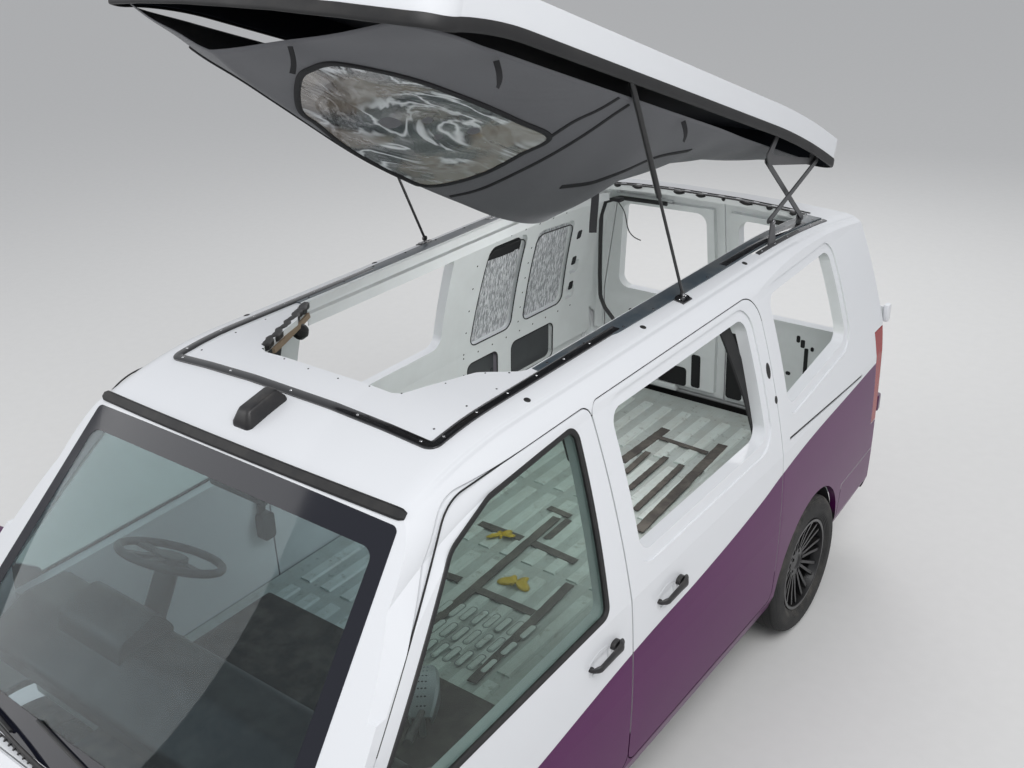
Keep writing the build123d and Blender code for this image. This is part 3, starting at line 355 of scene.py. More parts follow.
def round_profile(width, height=None, count=12):
    """Ellipse as a profile."""
    angle = np.linspace(0, 2 * math.pi, count, endpoint=False)
    return np.stack([np.cos(angle) * width / 2, np.sin(angle) * (height or width) / 2], -1)


def flat_profile(low, high, bottom, top, edge=1.0):
    """Flat strip with its upper edges broken."""
    return ((low, bottom), (low, top - edge), (low + edge, top), (high - edge, top), (high, top - edge),
            (high, bottom))


def dome(centre, normal, radii, count=20):
    """Turned part: (radius, height) pairs swung about a normal at a centre, closed at both poles."""
    normal = unit(np.asarray(normal, float))
    first = unit(np.cross(normal, (0.31, 0.27, 0.91)))
    second = np.cross(normal, first)
    table = np.array(radii, float) / 1000
    angle = np.linspace(0, 2 * math.pi, count, endpoint=False)
    ring = np.cos(angle)[:, None] * first + np.sin(angle)[:, None] * second
    return lofted(np.asarray(centre) + table[:, None, :1] * ring + table[:, None, 1:] * normal)


def plate(outline_low, outline_high):
    """Closed plate between two matching closed outlines of points."""
    return lofted([outline_low, outline_high])


def mesh_object(name, parts, body, finish, angle=35, mend=True):
    """One object from several (points, faces) parts, at the origin, riding on a body in a finish."""
    points, faces, start = [], [], 0
    for part_points, part_faces in parts:
        points.append(np.asarray(part_points, float))
        faces += [[i + start for i in face] for face in part_faces]
        start += len(part_points)
    mesh = bpy.data.meshes.new(name)
    mesh.from_pydata(np.vstack(points).tolist(), [], faces)
    mesh.validate()
    if mend:
        shape = bmesh.new()
        shape.from_mesh(mesh)
        bmesh.ops.remove_doubles(shape, verts=shape.verts, dist=1e-6)
        bmesh.ops.recalc_face_normals(shape, faces=shape.faces)
        shape.to_mesh(mesh)
        shape.free()
    mesh.shade_smooth()
    mesh.set_sharp_from_angle(angle=math.radians(angle))
    mesh.materials.append(FINISHES[finish])
    obj = bpy.data.objects.new(name, mesh)
    bpy.context.scene.collection.objects.link(obj)
    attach(obj, body)
    return obj


def with_modifier(obj, kind, **settings):
    modifier = obj.modifiers.new(kind.title(), kind)
    for key, value in settings.items():
        setattr(modifier, key, value)
    return obj


# Material helpers


def new_material(name):
    """An empty node material with its output and one Principled shader."""
    material = bpy.data.materials.new(name)
    material.use_nodes = True
    return material, material.node_tree, material.node_tree.nodes["Principled BSDF"]


def add(tree, kind, inputs=None, **settings):
    """One node, its settings, and its inputs as values or linked sockets."""
    node = tree.nodes.new("ShaderNode" + kind)
    for key, value in settings.items():
        setattr(node, key, value)
    for key, value in (inputs or {}).items():
        socket = node.inputs[key]
        if isinstance(value, bpy.types.NodeSocket):
            tree.links.new(value, socket)
        else:
            socket.default_value = value
    return node


def math_node(tree, operation, a, b=0.0, c=0.0, clamp=False):
    return add(tree, "Math", {0: a, 1: b, 2: c}, operation=operation, use_clamp=clamp).outputs[0]


def times(tree, a, b, clamp=False):
    return math_node(tree, "MULTIPLY", a, b, clamp=clamp)


def minus(tree, a, b):
    return math_node(tree, "SUBTRACT", a, b)


def size_of(tree, value):
    return math_node(tree, "ABSOLUTE", value)


def mix_colour(tree, factor, a, b):
    node = tree.nodes.new("ShaderNodeMix")
    node.data_type = "RGBA"
    for key, value in ((0, factor), (6, a), (7, b)):
        if isinstance(value, bpy.types.NodeSocket):
            tree.links.new(value, node.inputs[key])
        else:
            node.inputs[key].default_value = value if key == 0 else (*value[:3], 1)
    return node.outputs[2]


def smoothstep(tree, value, low, high):
    node = add(tree, "MapRange", {0: value, 1: low, 2: high, 3: 0.0, 4: 1.0}, interpolation_type="SMOOTHSTEP")
    return node.outputs[0]


def object_point(tree):
    return add(tree, "TexCoord").outputs["Object"]


def node_group(name, inputs, outputs):
    """A shader node group with named inputs and outputs: (kind, name, default)."""
    tree = bpy.data.node_groups.new(name, "ShaderNodeTree")
    for kind, label, default in inputs:
        socket = tree.interface.new_socket(label, in_out="INPUT", socket_type="NodeSocket" + kind)
        socket.default_value = default
    for kind, label in outputs:
        tree.interface.new_socket(label, in_out="OUTPUT", socket_type="NodeSocket" + kind)
    return tree, tree.nodes.new("NodeGroupInput").outputs, tree.nodes.new("NodeGroupOutput").inputs


def use_group(tree, name, **inputs):
    """A placed node group; underscores in a keyword stand for spaces."""
    node = tree.nodes.new("ShaderNodeGroup")
    node.node_tree = bpy.data.node_groups[name]
    for key, value in inputs.items():
        socket = node.inputs[key.replace("_", " ")]
        if isinstance(value, bpy.types.NodeSocket):
            tree.links.new(value, socket)
        elif socket.type == "RGBA":
            socket.default_value = (*value[:3], 1)
        else:
            socket.default_value = value
    return node.outputs


def build_groups():
    """Shared effects: colour split, inner side, fine grain, dust, weave, crumple and axle rings."""
    tree, ins, outs = node_group("Colour Split", [], [("Float", "Lower")])
    point = add(tree, "SeparateXYZ", {0: object_point(tree)})
    station = math_node(tree, "ADD", point.outputs[1], MIDDLE / 1000)
    share = math_node(tree, "DIVIDE", station, 2 * MIDDLE / 1000, clamp=True)
    curve = add(tree, "FloatCurve", {"Factor": 1.0, "Value": share})
    line = curve.mapping.curves[0]
    while len(line.points) < len(SPLIT_LINE):
        line.points.new(0.5, 0.5)
    for knot, (s, z) in zip(line.points, SPLIT_LINE):
        knot.location = (s / (2 * MIDDLE), z / 2000)
        knot.handle_type = "AUTO"
    curve.mapping.update()
    height = times(tree, curve.outputs[0], 2.0)
    gap = minus(tree, height, point.outputs[2])
    tree.links.new(smoothstep(tree, gap, -0.0006, 0.0006), outs["Lower"])

    tree, ins, outs = node_group("Inner Side", [], [("Float", "Inner")])
    coord = tree.nodes.new("ShaderNodeTexCoord")
    point = add(tree, "SeparateXYZ", {0: coord.outputs["Object"]})
    held = add(tree, "Clamp", {0: point.outputs[1], 1: -1.2, 2: 1.7}).outputs[0]
    along = minus(tree, point.outputs[1], held)
    rise = times(tree, minus(tree, point.outputs[2], 1.1), 0.8)
    outward = add(tree, "CombineXYZ", {0: point.outputs[0], 1: along, 2: rise}).outputs[0]
    outward = add(tree, "VectorMath", {0: outward}, operation="NORMALIZE").outputs[0]
    facing = add(tree, "VectorMath", {0: outward, 1: coord.outputs["Normal"]},
                 operation="DOT_PRODUCT").outputs["Value"]
    tree.links.new(smoothstep(tree, facing, 0.05, -0.05), outs["Inner"])

    tree, ins, outs = node_group("Shell Inside", [], [("Float", "Inside")])
    coord = tree.nodes.new("ShaderNodeTexCoord")
    point = add(tree, "SeparateXYZ", {0: coord.outputs["Object"]})
    held = add(tree, "Clamp", {0: point.outputs[1], 1: -0.75, 2: 1.75}).outputs[0]
    along = minus(tree, point.outputs[1], held)
    outward = add(tree, "CombineXYZ", {0: point.outputs[0], 1: along}).outputs[0]
    outward = add(tree, "VectorMath", {0: outward}, operation="NORMALIZE").outputs[0]
    facing = add(tree, "VectorMath", {0: outward, 1: coord.outputs["Normal"]},
                 operation="DOT_PRODUCT").outputs["Value"]
    rise = add(tree, "VectorMath", {0: coord.outputs["Normal"], 1: SHELL_UP},
               operation="DOT_PRODUCT").outputs["Value"]
    inward = smoothstep(tree, facing, -0.1, -0.3)
    level = smoothstep(tree, size_of(tree, rise), 0.6, 0.4)
    under = smoothstep(tree, rise, -0.3, -0.5)
    inside = math_node(tree, "MAXIMUM", times(tree, inward, level), under)
    tree.links.new(inside, outs["Inside"])

    tree, ins, outs = node_group("Roof Channel", [], [("Float", "Height")])
    point = add(tree, "SeparateXYZ", {0: object_point(tree)})
    away = minus(tree, size_of(tree, point.outputs[0]), 0.702)
    channel = smoothstep(tree, size_of(tree, away), 0.0, 0.014)
    above = smoothstep(tree, point.outputs[2], 1.80, 1.86)
    behind = smoothstep(tree, point.outputs[1], -1.05, -0.85)
    sunk = times(tree, minus(tree, 1.0, channel), times(tree, above, behind))
    tree.links.new(times(tree, sunk, -1.0), outs["Height"])

    tree, ins, outs = node_group(
        "Fine Grain", [("Float", "Scale", 900.0), ("Float", "Depth", 0.2), ("Float", "Patch Scale", 6.0)],
        [("Float", "Height"), ("Float", "Patch")])
    point = object_point(tree)
    fine = add(tree, "TexNoise", {"Vector": point, "Scale": ins["Scale"], "Detail": 2.0})
    patch = add(tree, "TexNoise",
                {"Vector": point, "Scale": ins["Patch Scale"], "Detail": 5.0, "Roughness": 0.6})
    tree.links.new(times(tree, fine.outputs[0], ins["Depth"]), outs["Height"])
    tree.links.new(patch.outputs[0], outs["Patch"])

    tree, ins, outs = node_group(
        "Dust", [("Color", "Colour", (0.5, 0.5, 0.5, 1)), ("Color", "Dust Colour", (0.42, 0.38, 0.32, 1)),
                 ("Float", "Amount", 0.3)], [("Color", "Colour"), ("Float", "Mask")])
    coord = tree.nodes.new("ShaderNodeTexCoord")
    up = add(tree, "SeparateXYZ", {0: coord.outputs["Normal"]}).outputs[2]
    noise = add(tree, "TexNoise",
                {"Vector": coord.outputs["Object"], "Scale": 9.0, "Detail": 6.0, "Roughness": 0.65})
    spread = smoothstep(tree, noise.outputs[0], 0.35, 0.75)
    lying = smoothstep(tree, up, -0.3, 0.9)
    mask = times(tree, times(tree, spread, lying), ins["Amount"], clamp=True)
    tree.links.new(mix_colour(tree, mask, ins["Colour"], ins["Dust Colour"]), outs["Colour"])
    tree.links.new(mask, outs["Mask"])

    tree, ins, outs = node_group("Weave", [("Float", "Pitch", 0.0016)], [("Float", "Height")])
    point = object_point(tree)
    turned = add(tree, "Mapping", {0: point, 2: (0.6, 0.25, 0.5)}).outputs[0]
    inverse = math_node(tree, "DIVIDE", 6.2832, ins["Pitch"])
    waves = []
    for axis in (0, 1):
        part = add(tree, "SeparateXYZ", {0: turned}).outputs[axis]
        waves.append(math_node(tree, "SINE", times(tree, part, inverse)))
    tree.links.new(times(tree, waves[0], waves[1]), outs["Height"])

    tree, ins, outs = node_group(
        "Crumple", [("Float", "Scale", 7.0), ("Float", "Stretch", 0.35), ("Float", "Fine", 0.3)],
        [("Float", "Height"), ("Float", "Ridge")])
    point = object_point(tree)
    drawn = add(tree, "VectorMath", {0: point, 1: (1.0, 0.35, 1.0)}, operation="MULTIPLY").outputs[0]
    warp = add(tree, "TexNoise", {"Vector": drawn, "Scale": ins["Scale"], "Detail": 3.0, "Distortion": 1.4})
    folds = add(tree, "TexVoronoi", {"Vector": mix_vector(tree, drawn, warp.outputs["Color"], 0.25),
                                    "Scale": ins["Scale"]}, feature="SMOOTH_F1")
    height = math_node(tree, "ADD", times(tree, folds.outputs["Distance"], 0.8), warp.outputs[0])
    tree.links.new(height, outs["Height"])
    ridge = size_of(tree, minus(tree, warp.outputs[0], 0.5))
    tree.links.new(smoothstep(tree, ridge, 0.05, 0.0), outs["Ridge"])

    tree, ins, outs = node_group("Axle Rings", [],
                                 [("Float", "Radius"), ("Float", "Turn"), ("Float", "Across")])
    point = add(tree, "SeparateXYZ", {0: object_point(tree)})
    rear = math_node(tree, "GREATER_THAN", point.outputs[1], 0.0)
    axle = math_node(tree, "MULTIPLY_ADD", rear, WHEELBASE / 1000, (REAR_AXLE - WHEELBASE - MIDDLE) / 1000)
    along = minus(tree, point.outputs[1], axle)
    rise = minus(tree, point.outputs[2], AXLE_HEIGHT / 1000)
    flat = add(tree, "CombineXYZ", {0: along, 1: rise}).outputs[0]
    tree.links.new(add(tree, "VectorMath", {0: flat}, operation="LENGTH").outputs["Value"], outs["Radius"])
    tree.links.new(math_node(tree, "ARCTAN2", rise, along), outs["Turn"])
    away = minus(tree, size_of(tree, point.outputs[0]), HALF_TRACK / 1000)
    tree.links.new(away, outs["Across"])


def mix_vector(tree, vector, other, amount):
    """A vector pushed by another around its middle value."""
    centred = add(tree, "VectorMath", {0: other, 1: (0.5, 0.5, 0.5)}, operation="SUBTRACT").outputs[0]
    scaled = add(tree, "VectorMath", {0: centred, 3: amount}, operation="SCALE").outputs[0]
    return add(tree, "VectorMath", {0: vector, 1: scaled}, operation="ADD").outputs[0]


def bump(tree, shader, height, strength=0.3, distance=0.001, under=None):
    node = add(tree, "Bump", {"Strength": strength, "Distance": distance, "Height": height})
    if under:
        tree.links.new(under.outputs[0], node.inputs["Normal"])
    tree.links.new(node.outputs[0], shader.inputs["Normal"])
    return node


def body_paint(finish):
    """Two-tone gloss paint outside, plain pale paint on the inner faces, painted near black as shade by the
    wheels and under the floor.
    """
    material, tree, shader = new_material("two_tone_paint")
    lower = use_group(tree, "Colour Split")["Lower"]
    inner = use_group(tree, "Inner Side")["Inner"]
    outer = minus(tree, 1.0, inner)
    flake = add(tree, "TexVoronoi", {"Vector": object_point(tree), "Scale": 2600.0})
    cloud = add(tree, "TexNoise", {"Vector": object_point(tree), "Scale": 3.0, "Detail": 3.0})
    sparkle = mix_colour(tree, flake.outputs["Distance"], finish.lower_paint,
                         tuple(2.2 * c for c in finish.lower_paint))
    pearl = mix_colour(tree, times(tree, cloud.outputs[0], 0.3), sparkle, (0.024, 0.001, 0.026))
    white = mix_colour(tree, times(tree, cloud.outputs[0], 0.1), finish.upper_paint, (0.72, 0.72, 0.72))
    outside = mix_colour(tree, lower, white, pearl)
    grain = use_group(tree, "Fine Grain", Scale=700.0, Patch_Scale=5.0)
    spotted = mix_colour(tree, times(tree, grain["Patch"], 0.35), finish.inner_paint, (0.38, 0.38, 0.36))
    dust_and_underbody_shade = use_group(tree, "Dust", Colour=spotted, Amount=0.15)["Colour"]
    # Inner faces near the wheel arches and below floor level are painted near black as shade.
    near_wheel = smoothstep(tree, use_group(tree, "Axle Rings")["Radius"], 0.435, 0.415)
    level = add(tree, "SeparateXYZ", {0: object_point(tree)}).outputs[2]
    painted_underbody_shade = math_node(tree, "MAXIMUM", near_wheel, smoothstep(tree, level, 0.57, 0.55))
    dust_and_underbody_shade = mix_colour(tree, painted_underbody_shade, dust_and_underbody_shade, (0.012, 0.012, 0.012))
    tree.links.new(mix_colour(tree, inner, outside, dust_and_underbody_shade), shader.inputs["Base Color"])
    shader.inputs["Specular IOR Level"].default_value = 0.12
    coated = times(tree, outer, math_node(tree, "MULTIPLY_ADD", lower, -0.36, 0.5))
    tree.links.new(coated, shader.inputs["Coat Weight"])
    shader.inputs["Coat Roughness"].default_value = 0.03
    metal = times(tree, times(tree, lower, 0.3), outer)
    tree.links.new(metal, shader.inputs["Metallic"])
    tree.links.new(math_node(tree, "MULTIPLY_ADD", inner, 0.2, 0.32), shader.inputs["Roughness"])
    fine = bump(tree, shader, grain["Height"], 0.02)
    channel = use_group(tree, "Roof Channel")["Height"]
    bump(tree, shader, channel, 0.8, 0.006, fine)
    return material


def plain_finish(name, colour, roughness, grain=700.0, depth=0.15, patch=0.12, metallic=0.0, coat=0.0,
                 dust=0.0):
    """A finish with fine grain, slow colour change and lying dust."""
    material, tree, shader = new_material(name)
    group = use_group(tree, "Fine Grain", Scale=grain)
    darker = tuple(c * 0.6 for c in colour[:3])
    shade = mix_colour(tree, times(tree, group["Patch"], patch * 2), colour, darker)
    shade = use_group(tree, "Dust", Colour=shade, Amount=dust)["Colour"]
    tree.links.new(shade, shader.inputs["Base Color"])
    rough = math_node(tree, "MULTIPLY_ADD", group["Patch"], 0.16, roughness - 0.08, clamp=True)
    tree.links.new(rough, shader.inputs["Roughness"])
    shader.inputs["Metallic"].default_value = metallic
    shader.inputs["Coat Weight"].default_value = coat
    bump(tree, shader, group["Height"], depth)
    return material


def masked_finish(name, group, label, outer, inner, roughness, coat=0.0):
    """One finish outside and a plain colour where a shared mask is set."""
    material, tree, shader = new_material(name)
    mask = use_group(tree, group)[label]
    grain = use_group(tree, "Fine Grain", Scale=700.0)
    outside = mix_colour(tree, times(tree, grain["Patch"], 0.1), outer, tuple(0.9 * c for c in outer))
    tree.links.new(mix_colour(tree, mask, outside, inner), shader.inputs["Base Color"])
    bare = minus(tree, 1.0, mask)
    tree.links.new(times(tree, bare, coat), shader.inputs["Coat Weight"])
    shader.inputs["Specular IOR Level"].default_value = 0.25
    tree.links.new(math_node(tree, "MULTIPLY_ADD", mask, 0.45, roughness), shader.inputs["Roughness"])
    bump(tree, shader, grain["Height"], 0.04)
    return material


def glass_finish(name, tint):
    """Clear tinted pane with faint smears."""
    material, tree, shader = new_material(name)
    shader.inputs["Transmission Weight"].default_value = 1.0
    shader.inputs["IOR"].default_value = 1.35
    smear = add(tree, "TexNoise", {"Vector": object_point(tree), "Scale": 3.0, "Detail": 4.0})
    tree.links.new(mix_colour(tree, smear.outputs[0], tint, tuple(0.94 * c for c in tint)),
                   shader.inputs["Base Color"])
    shader.inputs["Roughness"].default_value = 0.0
    return material


def floor_finish(finish):
    """Grey primer with scuffs, drips of old adhesive and dust; its underside and all below floor level
    painted near black as shade.
    """
    material, tree, shader = new_material("floor_paint")
    grain = use_group(tree, "Fine Grain", Scale=300.0, Patch_Scale=4.0)
    scuff = add(tree, "TexNoise",
                {"Vector": object_point(tree), "Scale": 22.0, "Detail": 8.0, "Roughness": 0.75})
    marked = smoothstep(tree, scuff.outputs[0], 0.56, 0.66)
    base = mix_colour(tree, grain["Patch"], (0.56, 0.63, 0.60), (0.68, 0.74, 0.71))
    shade = mix_colour(tree, times(tree, marked, finish.grime), base, (0.22, 0.21, 0.19))
    shade = use_group(tree, "Dust", Colour=shade, Amount=times(tree, finish.grime, 0.6))["Colour"]
    coord = tree.nodes.new("ShaderNodeTexCoord")
    level = add(tree, "SeparateXYZ", {0: coord.outputs["Object"]})
    rise = add(tree, "SeparateXYZ", {0: coord.outputs["Normal"]}).outputs[2]
    # Faces below floor level or facing down are painted near black as shade.
    below = math_node(tree, "MAXIMUM", smoothstep(tree, level.outputs[2], 0.572, 0.56),
                      smoothstep(tree, rise, -0.05, -0.2))
    tree.links.new(mix_colour(tree, below, shade, (0.014, 0.014, 0.014)), shader.inputs["Base Color"])
    tree.links.new(math_node(tree, "MULTIPLY_ADD", marked, 0.25, 0.38), shader.inputs["Roughness"])
    wave = math_node(tree, "SINE", times(tree, level.outputs[0], 112.0))
    ridge = smoothstep(tree, wave, -0.2, 0.5)
    broken = smoothstep(tree, math_node(tree, "SINE", times(tree, level.outputs[1], 37.0)), -0.7, -0.3)
    pressed = times(tree, times(tree, ridge, broken), smoothstep(tree, rise, 0.9, 0.98))
    fine = bump(tree, shader, grain["Height"], 0.2)
    bump(tree, shader, pressed, 0.45, 0.004, fine)
    return material


def cloth_finish(finish):
    """Plain-woven proofed cloth with soft creases and a faint sheen."""
    material, tree, shader = new_material("canvas_cloth")
    crease = use_group(tree, "Crumple", Scale=3.0)
    grain = use_group(tree, "Fine Grain", Scale=60.0, Patch_Scale=2.5)
    lighter = tuple(1.25 * c for c in finish.canvas)
    shade = mix_colour(tree, grain["Patch"], finish.canvas, lighter)
    tree.links.new(shade, shader.inputs["Base Color"])
    shader.inputs["Roughness"].default_value = 0.78
    shader.inputs["Sheen Weight"].default_value = 0.25
    fine = bump(tree, shader, use_group(tree, "Weave", Pitch=0.0022)["Height"], 0.25, 0.0006)
    bump(tree, shader, crease["Height"], 0.12, 0.02, fine)
    return material


def vinyl_finish():
    """Clear window film over cloth: taupe and slate patches with bright crumpled streaks painted in as
    reflections.
    """
    material, tree, shader = new_material("window_film")
    crease = use_group(tree, "Crumple", Scale=4.2)
    patch = add(tree, "TexNoise",
                {"Vector": object_point(tree), "Scale": 1.9, "Detail": 2.0, "Distortion": 1.2})
    dark = smoothstep(tree, patch.outputs[0], 0.44, 0.56)
    shade = mix_colour(tree, dark, (0.16, 0.135, 0.11), (0.035, 0.042, 0.05))
    # Bright streaks along the crease ridges are painted reflections.
    painted_reflection = times(tree, crease["Ridge"], math_node(tree, "MULTIPLY_ADD", dark, 0.75, 0.12))
    shade = mix_colour(tree, painted_reflection, shade, (0.75, 0.78, 0.80))
    tree.links.new(shade, shader.inputs["Base Color"])
    shader.inputs["Roughness"].default_value = 0.08
    shader.inputs["Coat Weight"].default_value = 0.8
    bump(tree, shader, crease["Height"], 0.8, 0.03)
    return material


def foil_finish():
    """Crinkled aluminium foil over sound matting, its bright patches painted in as glints."""
    material, tree, shader = new_material("crinkled_foil")
    point = object_point(tree)
    drawn = add(tree, "VectorMath", {0: point, 1: (1.0, 3.6, 0.7)}, operation="MULTIPLY").outputs[0]
    fold = add(tree, "TexVoronoi", {"Vector": drawn, "Scale": 24.0, "Randomness": 1.0}, feature="F2")
    noise = add(tree, "TexNoise", {"Vector": drawn, "Scale": 34.0, "Detail": 5.0, "Roughness": 0.7})
    height = math_node(tree, "ADD", fold.outputs["Distance"], noise.outputs[0])
    # The bright patches in the foil's colour are painted glints.
    painted_glint = smoothstep(tree, noise.outputs[0], 0.44, 0.58)
    shade = mix_colour(tree, painted_glint, (0.36, 0.37, 0.39), (0.92, 0.93, 0.95))
    tree.links.new(shade, shader.inputs["Base Color"])
    shader.inputs["Metallic"].default_value = 0.25
    shader.inputs["Roughness"].default_value = 0.32
    bump(tree, shader, height, 0.9, 0.008)
    return material


def tyre_finish():
    """Rubber with sidewall rings, tread grooves and shoulder cuts worked out about the axle, the grooves
    painted darker as shade.
    """
    material, tree, shader = new_material("tyre_rubber")
    ring = use_group(tree, "Axle Rings")
    crown = smoothstep(tree, ring["Radius"], 0.331, 0.336)
    groove = size_of(tree, math_node(tree, "SINE", times(tree, ring["Across"], 78.0)))
    channel = smoothstep(tree, groove, 0.06, 0.22)
    angle = math_node(tree, "MULTIPLY_ADD", ring["Across"], 260.0, times(tree, ring["Turn"], 64.0))
    sipe = smoothstep(tree, size_of(tree, math_node(tree, "SINE", angle)), 0.05, 0.2)
    tread = times(tree, channel, sipe)
    wall = math_node(tree, "SINE", times(tree, ring["Radius"], 900.0))
    side = times(tree, wall, 0.18)
    height = add(tree, "Mix", {0: crown, 2: side, 3: tread}).outputs[0]
    grain = use_group(tree, "Fine Grain", Scale=500.0)
    # Groove bottoms on the crown are painted darker than the tread blocks as shade.
    shade = mix_colour(tree, times(tree, crown, minus(tree, 1.0, tread)),
                       (0.022, 0.022, 0.022), (0.004, 0.004, 0.004))
    tree.links.new(use_group(tree, "Dust", Colour=shade, Amount=0.35)["Colour"], shader.inputs["Base Color"])
    shader.inputs["Roughness"].default_value = 0.78
    fine = bump(tree, shader, grain["Height"], 0.3)
    bump(tree, shader, height, 0.9, 0.006, fine)
    return material


FINISHES = {}


def build_finishes(finish):
    """Every finish by name."""
    FINISHES.update({
        "paint": body_paint(finish),
        "white": plain_finish("white_panel", finish.upper_paint, 0.3, coat=0.5),
        "purple": plain_finish("lower_panel", finish.lower_paint, 0.3, coat=0.5),
        "black": plain_finish("black_plastic", (0.018, 0.018, 0.020), 0.42, grain=1400.0, depth=0.25,
                              dust=0.1),
        "gloss": plain_finish("gloss_black", (0.008, 0.008, 0.009), 0.12, grain=900.0, depth=0.03, coat=0.6),
        "seal": plain_finish("black_rubber", (0.012, 0.012, 0.013), 0.55, grain=800.0, depth=0.3, dust=0.05),
        "frit": plain_finish("printed_border", (0.008, 0.009, 0.016), 0.1, grain=900.0, depth=0.02),
        "bare": floor_finish(finish),
        "inner": plain_finish("inner_paint", finish.inner_paint, 0.4, grain=400.0, patch=0.2, dust=0.3),
        "beam": plain_finish("beam_paint", finish.beam_paint, 0.38, grain=500.0, patch=0.2, coat=0.3,
                             dust=0.15),
        "shell": masked_finish("shell_white", "Shell Inside", "Inside", finish.upper_paint,
                               (0.010, 0.012, 0.018), 0.3, 0.5),
        "matting": plain_finish("dark_matting", (0.10, 0.105, 0.11), 0.3, grain=45.0, depth=0.8, patch=0.5,
                                metallic=0.3),
        "rib_shade": plain_finish("rib_shadow", (0.30, 0.33, 0.32), 0.6, grain=200.0, patch=0.2),
        "link": plain_finish("linkage_zinc", (0.13, 0.13, 0.135), 0.42, grain=300.0, metallic=0.6, patch=0.3),
        "zinc": plain_finish("zinc_plate", (0.42, 0.46, 0.49), 0.34, grain=60.0, patch=0.4, metallic=0.7),
        "cast": plain_finish("cast_metal", (0.12, 0.12, 0.12), 0.6, grain=250.0, depth=0.5, patch=0.4,
                             metallic=0.6,
                             dust=0.5),
        "steel": plain_finish("bright_steel", (0.55, 0.55, 0.56), 0.25, metallic=1.0),
        "strut": plain_finish("strut_paint", (0.010, 0.010, 0.011), 0.3, patch=0.1, coat=0.3),
        "wheel": plain_finish("wheel_paint", (0.006, 0.006, 0.007), 0.3, coat=0.3, dust=0.03),
        "tyre": tyre_finish(),
        "lens": glass_finish("lamp_lens", (0.93, 0.95, 0.96)),
        "bowl": plain_finish("lamp_reflector", (0.80, 0.81, 0.83), 0.08, metallic=1.0, depth=0.02),
        "mirror": plain_finish("mirror_glass", (0.75, 0.78, 0.80), 0.03, metallic=1.0, depth=0.0, patch=0.02),
        "red": masked_finish("tail_lens", "Inner Side", "Inner", (0.30, 0.004, 0.006), finish.inner_paint,
                             0.12, 0.1),
        "screen": glass_finish("windscreen_glass", (0.46, 0.56, 0.60)),
        "pane": glass_finish("door_glass", (0.50, 0.60, 0.56)),
        "cloth": cloth_finish(finish),
        "film": vinyl_finish(),
        "webbing": plain_finish("black_webbing", (0.010, 0.010, 0.012), 0.8, grain=350.0, depth=0.8),
        "foil": foil_finish(),
        "tape": plain_finish("cloth_tape", (0.012, 0.011, 0.011), 0.5, grain=120.0, depth=0.9),
        "foam": plain_finish("tan_foam", (0.27, 0.20, 0.13), 0.85, grain=200.0, depth=0.8, patch=0.4),
        "strip": plain_finish("floor_strip", (0.085, 0.075, 0.068), 0.8, grain=160.0, depth=0.8, patch=0.4,
                              dust=0.25),
        "mat": plain_finish("cab_floor", (0.030, 0.022, 0.018), 0.85, grain=120.0, depth=0.8, patch=0.4,
                            dust=0.2),
        "yellow": plain_finish("yellow_wrap", (0.72, 0.50, 0.02), 0.45, grain=90.0, depth=0.6, patch=0.3),
        # Near black: painted shade inside holes, openings and under the arches, and a few black parts.
        "dark": plain_finish("hole_shade_and_black", (0.006, 0.006, 0.007), 0.7, grain=200.0, depth=0.3),
    })


# Finish and the nodes that wear it
CAD_FINISHES = (
    ("paint", (
        "side_panel_left", "side_panel_right", "sliding_door", "roof_panel", "cab_frame", "front_wings",
        "front_bumper", "door_left", "door_right", "rear_door_left", "rear_door_right", "bonnet",
        "rear_bumper")),
    ("shell", ("pop_top",)),
    ("purple", ("door_mirror_left", "door_mirror_right")),
    ("black", (
        "roof_trim", "grille", "dashboard", "interior_mirror", "aerial_base", "fuel_tank",
        "loose_cable", "cable_clip", "steering_wheel")),
    ("bare", ("floor_pan", "front_subframe", "rear_axle")),
    ("cast", ("engine_block", "knuckle_left", "knuckle_right")),
    ("steel", ("exhaust",)),
    ("link", ("hinge_rails", "lifting_arms", "prop_arms", "roof_rails")),
    ("strut", ("strut_rods", "strut_tubes")),
    ("lens", ("headlamps",)),
    ("red", ("tail_lamps",)),
    ("screen", ("windscreen",)),
    ("pane", ("door_glass_left", "door_glass_right")),
    ("cloth", ("canvas",)),
    ("wheel", tuple(n for n in NODES if n.startswith("wheel_"))),
    ("tyre", tuple(n for n in NODES if n.startswith("tyre_"))),
)


class CAMPER_OT_finishes(bpy.types.Operator):
    """Build the shared effects and finish every CAD node"""

    bl_idname = "camper.finishes"
    bl_label = "Finish Body"

    def execute(self, context):
        build_groups()
        build_finishes(context.scene.camper_finish)
        for finish, names in CAD_FINISHES:
            for name in names:
                data = NODES[name].data
                data.materials.clear()
                data.materials.append(FINISHES[finish])
        return {"FINISHED"}


# Windscreen and front end

SCREEN_EDGE = ((-815, 17, 40), (815, 17, 40), (700, 1052, 22), (-700, 1052, 22))
SCREEN_CLEAR = ((-742, 110, 60), (742, 110, 60), (658, 968, 40), (-658, 968, 40))


def divided(outline, parts):
    """Closed outline with every run cut into the same number of equal parts."""
    share = np.arange(parts)[:, None] / parts
    ahead = np.roll(outline, -1, 0)
    return (outline[:, None] * (1 - share) + ahead[:, None] * share).reshape(-1, 2)


def band(outer, inner, place_on, low, high):
    """Closed flat band between two matching outlines, between two lifts above a surface."""
    loops = [place_on(outer, low), place_on(outer, high), place_on(inner, high), place_on(inner, low)]
    count = len(outer)
    return np.vstack(loops), grid_faces(4, count, True, True)


def screen_points(outline, lift):
    return on_screen(outline[:, 0], outline[:, 1], lift)


